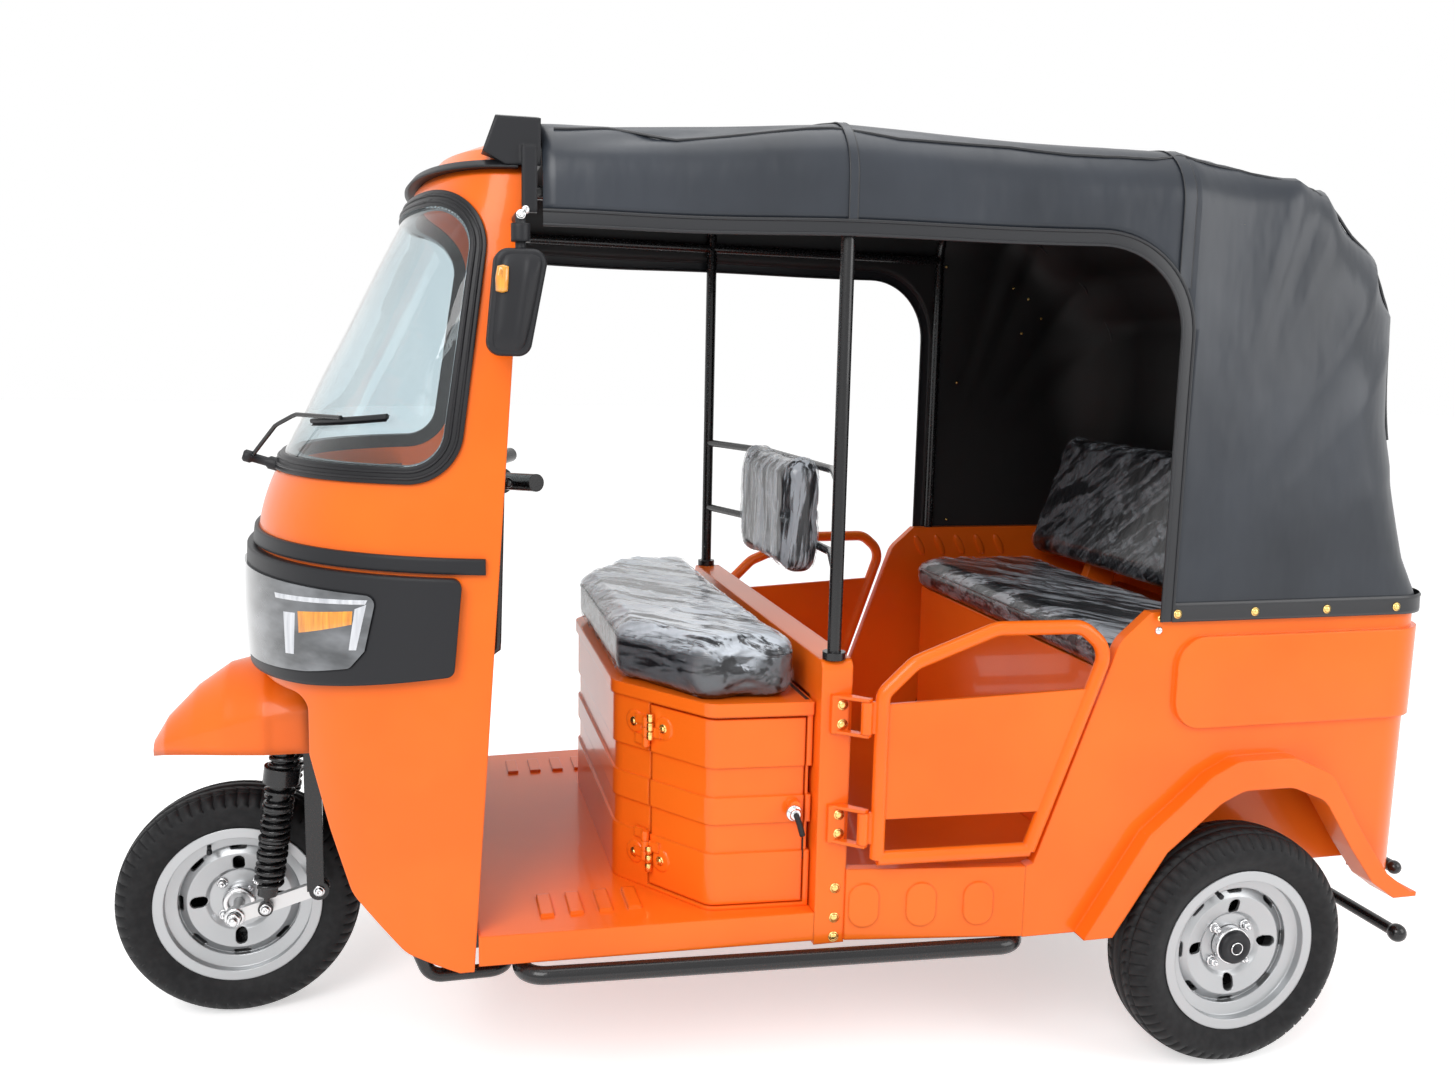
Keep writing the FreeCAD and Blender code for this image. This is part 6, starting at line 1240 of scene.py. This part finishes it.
def aim_camera():
    """The camera, turned by its yaw, its downward tilt and its roll."""
    forward = Vector((-math.sin(CAMERA_YAW) * math.cos(CAMERA_DOWN),
                      -math.cos(CAMERA_YAW) * math.cos(CAMERA_DOWN),
                      -math.sin(CAMERA_DOWN)))
    level_right = forward.cross(Vector((0, 0, 1))).normalized()
    level_up = level_right.cross(forward)
    right = math.cos(CAMERA_ROLL) * level_right + math.sin(CAMERA_ROLL) * level_up
    up = right.cross(forward)
    camera = bpy.data.cameras.new("photo_camera")
    camera.lens = CAMERA_LENS
    camera.sensor_width = CAMERA_SENSOR
    camera.sensor_fit = "HORIZONTAL"
    camera.clip_end = 200
    eye = put("photo_camera", camera)
    turn = Matrix((right, up, -forward)).transposed().to_4x4()
    eye.matrix_world = Matrix.Translation(CAMERA_SPOT) @ turn
    bpy.context.scene.camera = eye


def seen_directly(holder):
    """One where the camera, a reflection or a pane sees a surface, else zero."""
    rays = node_of(holder, "ShaderNodeLightPath", {}).outputs
    either = maths(holder, "MAXIMUM", rays["Is Camera Ray"], rays["Is Glossy Ray"])
    return maths(holder, "MAXIMUM", either, rays["Is Transmission Ray"])


def light_studio():
    """A plain world, which shows white, and three soft lamps."""
    world = bpy.data.worlds.new("studio")
    bpy.context.scene.world = world
    world.use_nodes = True
    ambient = world.node_tree.nodes["Background"]
    feed(world, ambient, {"Color": (1, 1, 1, 1), "Strength": 0.55})
    white = node_of(world, "ShaderNodeBackground", {"Color": (1, 1, 1, 1), "Strength": 1.0})
    mix = node_of(world, "ShaderNodeMixShader", {
        "Fac": seen_directly(world), 1: ambient.outputs[0], 2: white.outputs[0]})
    feed(world, world.node_tree.nodes["World Output"], {"Surface": mix.outputs[0]})
    for name, spot, aim, size, power in (
            ("key_light", (2.6, 3.4, 3.6), (0.1, 0, 0.8), 2.6, 125),
            ("fill_light", (-3.2, 3.0, 2.4), (-0.4, 0, 0.9), 2.4, 55),
            ("top_light", (0, 0, 4.4), (0, 0, 0), 3.2, 60)):
        lamp = bpy.data.lights.new(name, "AREA")
        lamp.energy = power
        lamp.size = size
        holder = put(name, lamp)
        holder.location = spot
        way = Vector(aim) - Vector(spot)
        holder.rotation_euler = way.to_track_quat("-Z", "Y").to_euler()


def lay_floor():
    """A pale floor, which shows white but throws little light back."""
    mesh = bpy.data.meshes.new("studio_floor")
    reach = 30.0
    corners = [(-reach, -reach, 0), (reach, -reach, 0), (reach, reach, 0), (-reach, reach, 0)]
    mesh.from_pydata(corners, [], [(0, 1, 2, 3)])
    floor = put("studio_floor", mesh)
    floor.location.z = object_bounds()[0][2] - 0.0005
    material = blank_material("pale_floor", (0.93, 0.93, 0.93), 0.8)
    varied_roughness(material, object_noise(material, 60.0, 2.0), 0.75, 0.85)
    dress(material, Emission_Color=(1, 1, 1, 1),
          Emission_Strength=maths(material, "MULTIPLY", seen_directly(material), 0.52))
    mesh.materials.append(material)


bpy.context.scene.view_settings.view_transform = "Standard"
aim_camera()
light_studio()
lay_floor()
paint_cad_nodes()

ROOF_ROWS, FAN_ROWS = hood_rows(surface_of(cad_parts["canopy"]))
canopy_skin(ROOF_ROWS, FAN_ROWS)
canopy_edges(ROOF_ROWS, FAN_ROWS)
canopy_hem(FAN_ROWS[-1])
canopy_seams(ROOF_ROWS)
roof_piping(ROOF_ROWS, FAN_ROWS)
canopy_studs()
cushions()
wheels()
lamps()
gasket_ribs()
wiper()
mirror_details()
hinge_screws()
locker_fittings()
post_bolts()
damper_springs()
cowl_grab_bar()
quarter_pressings()
seat_slot()
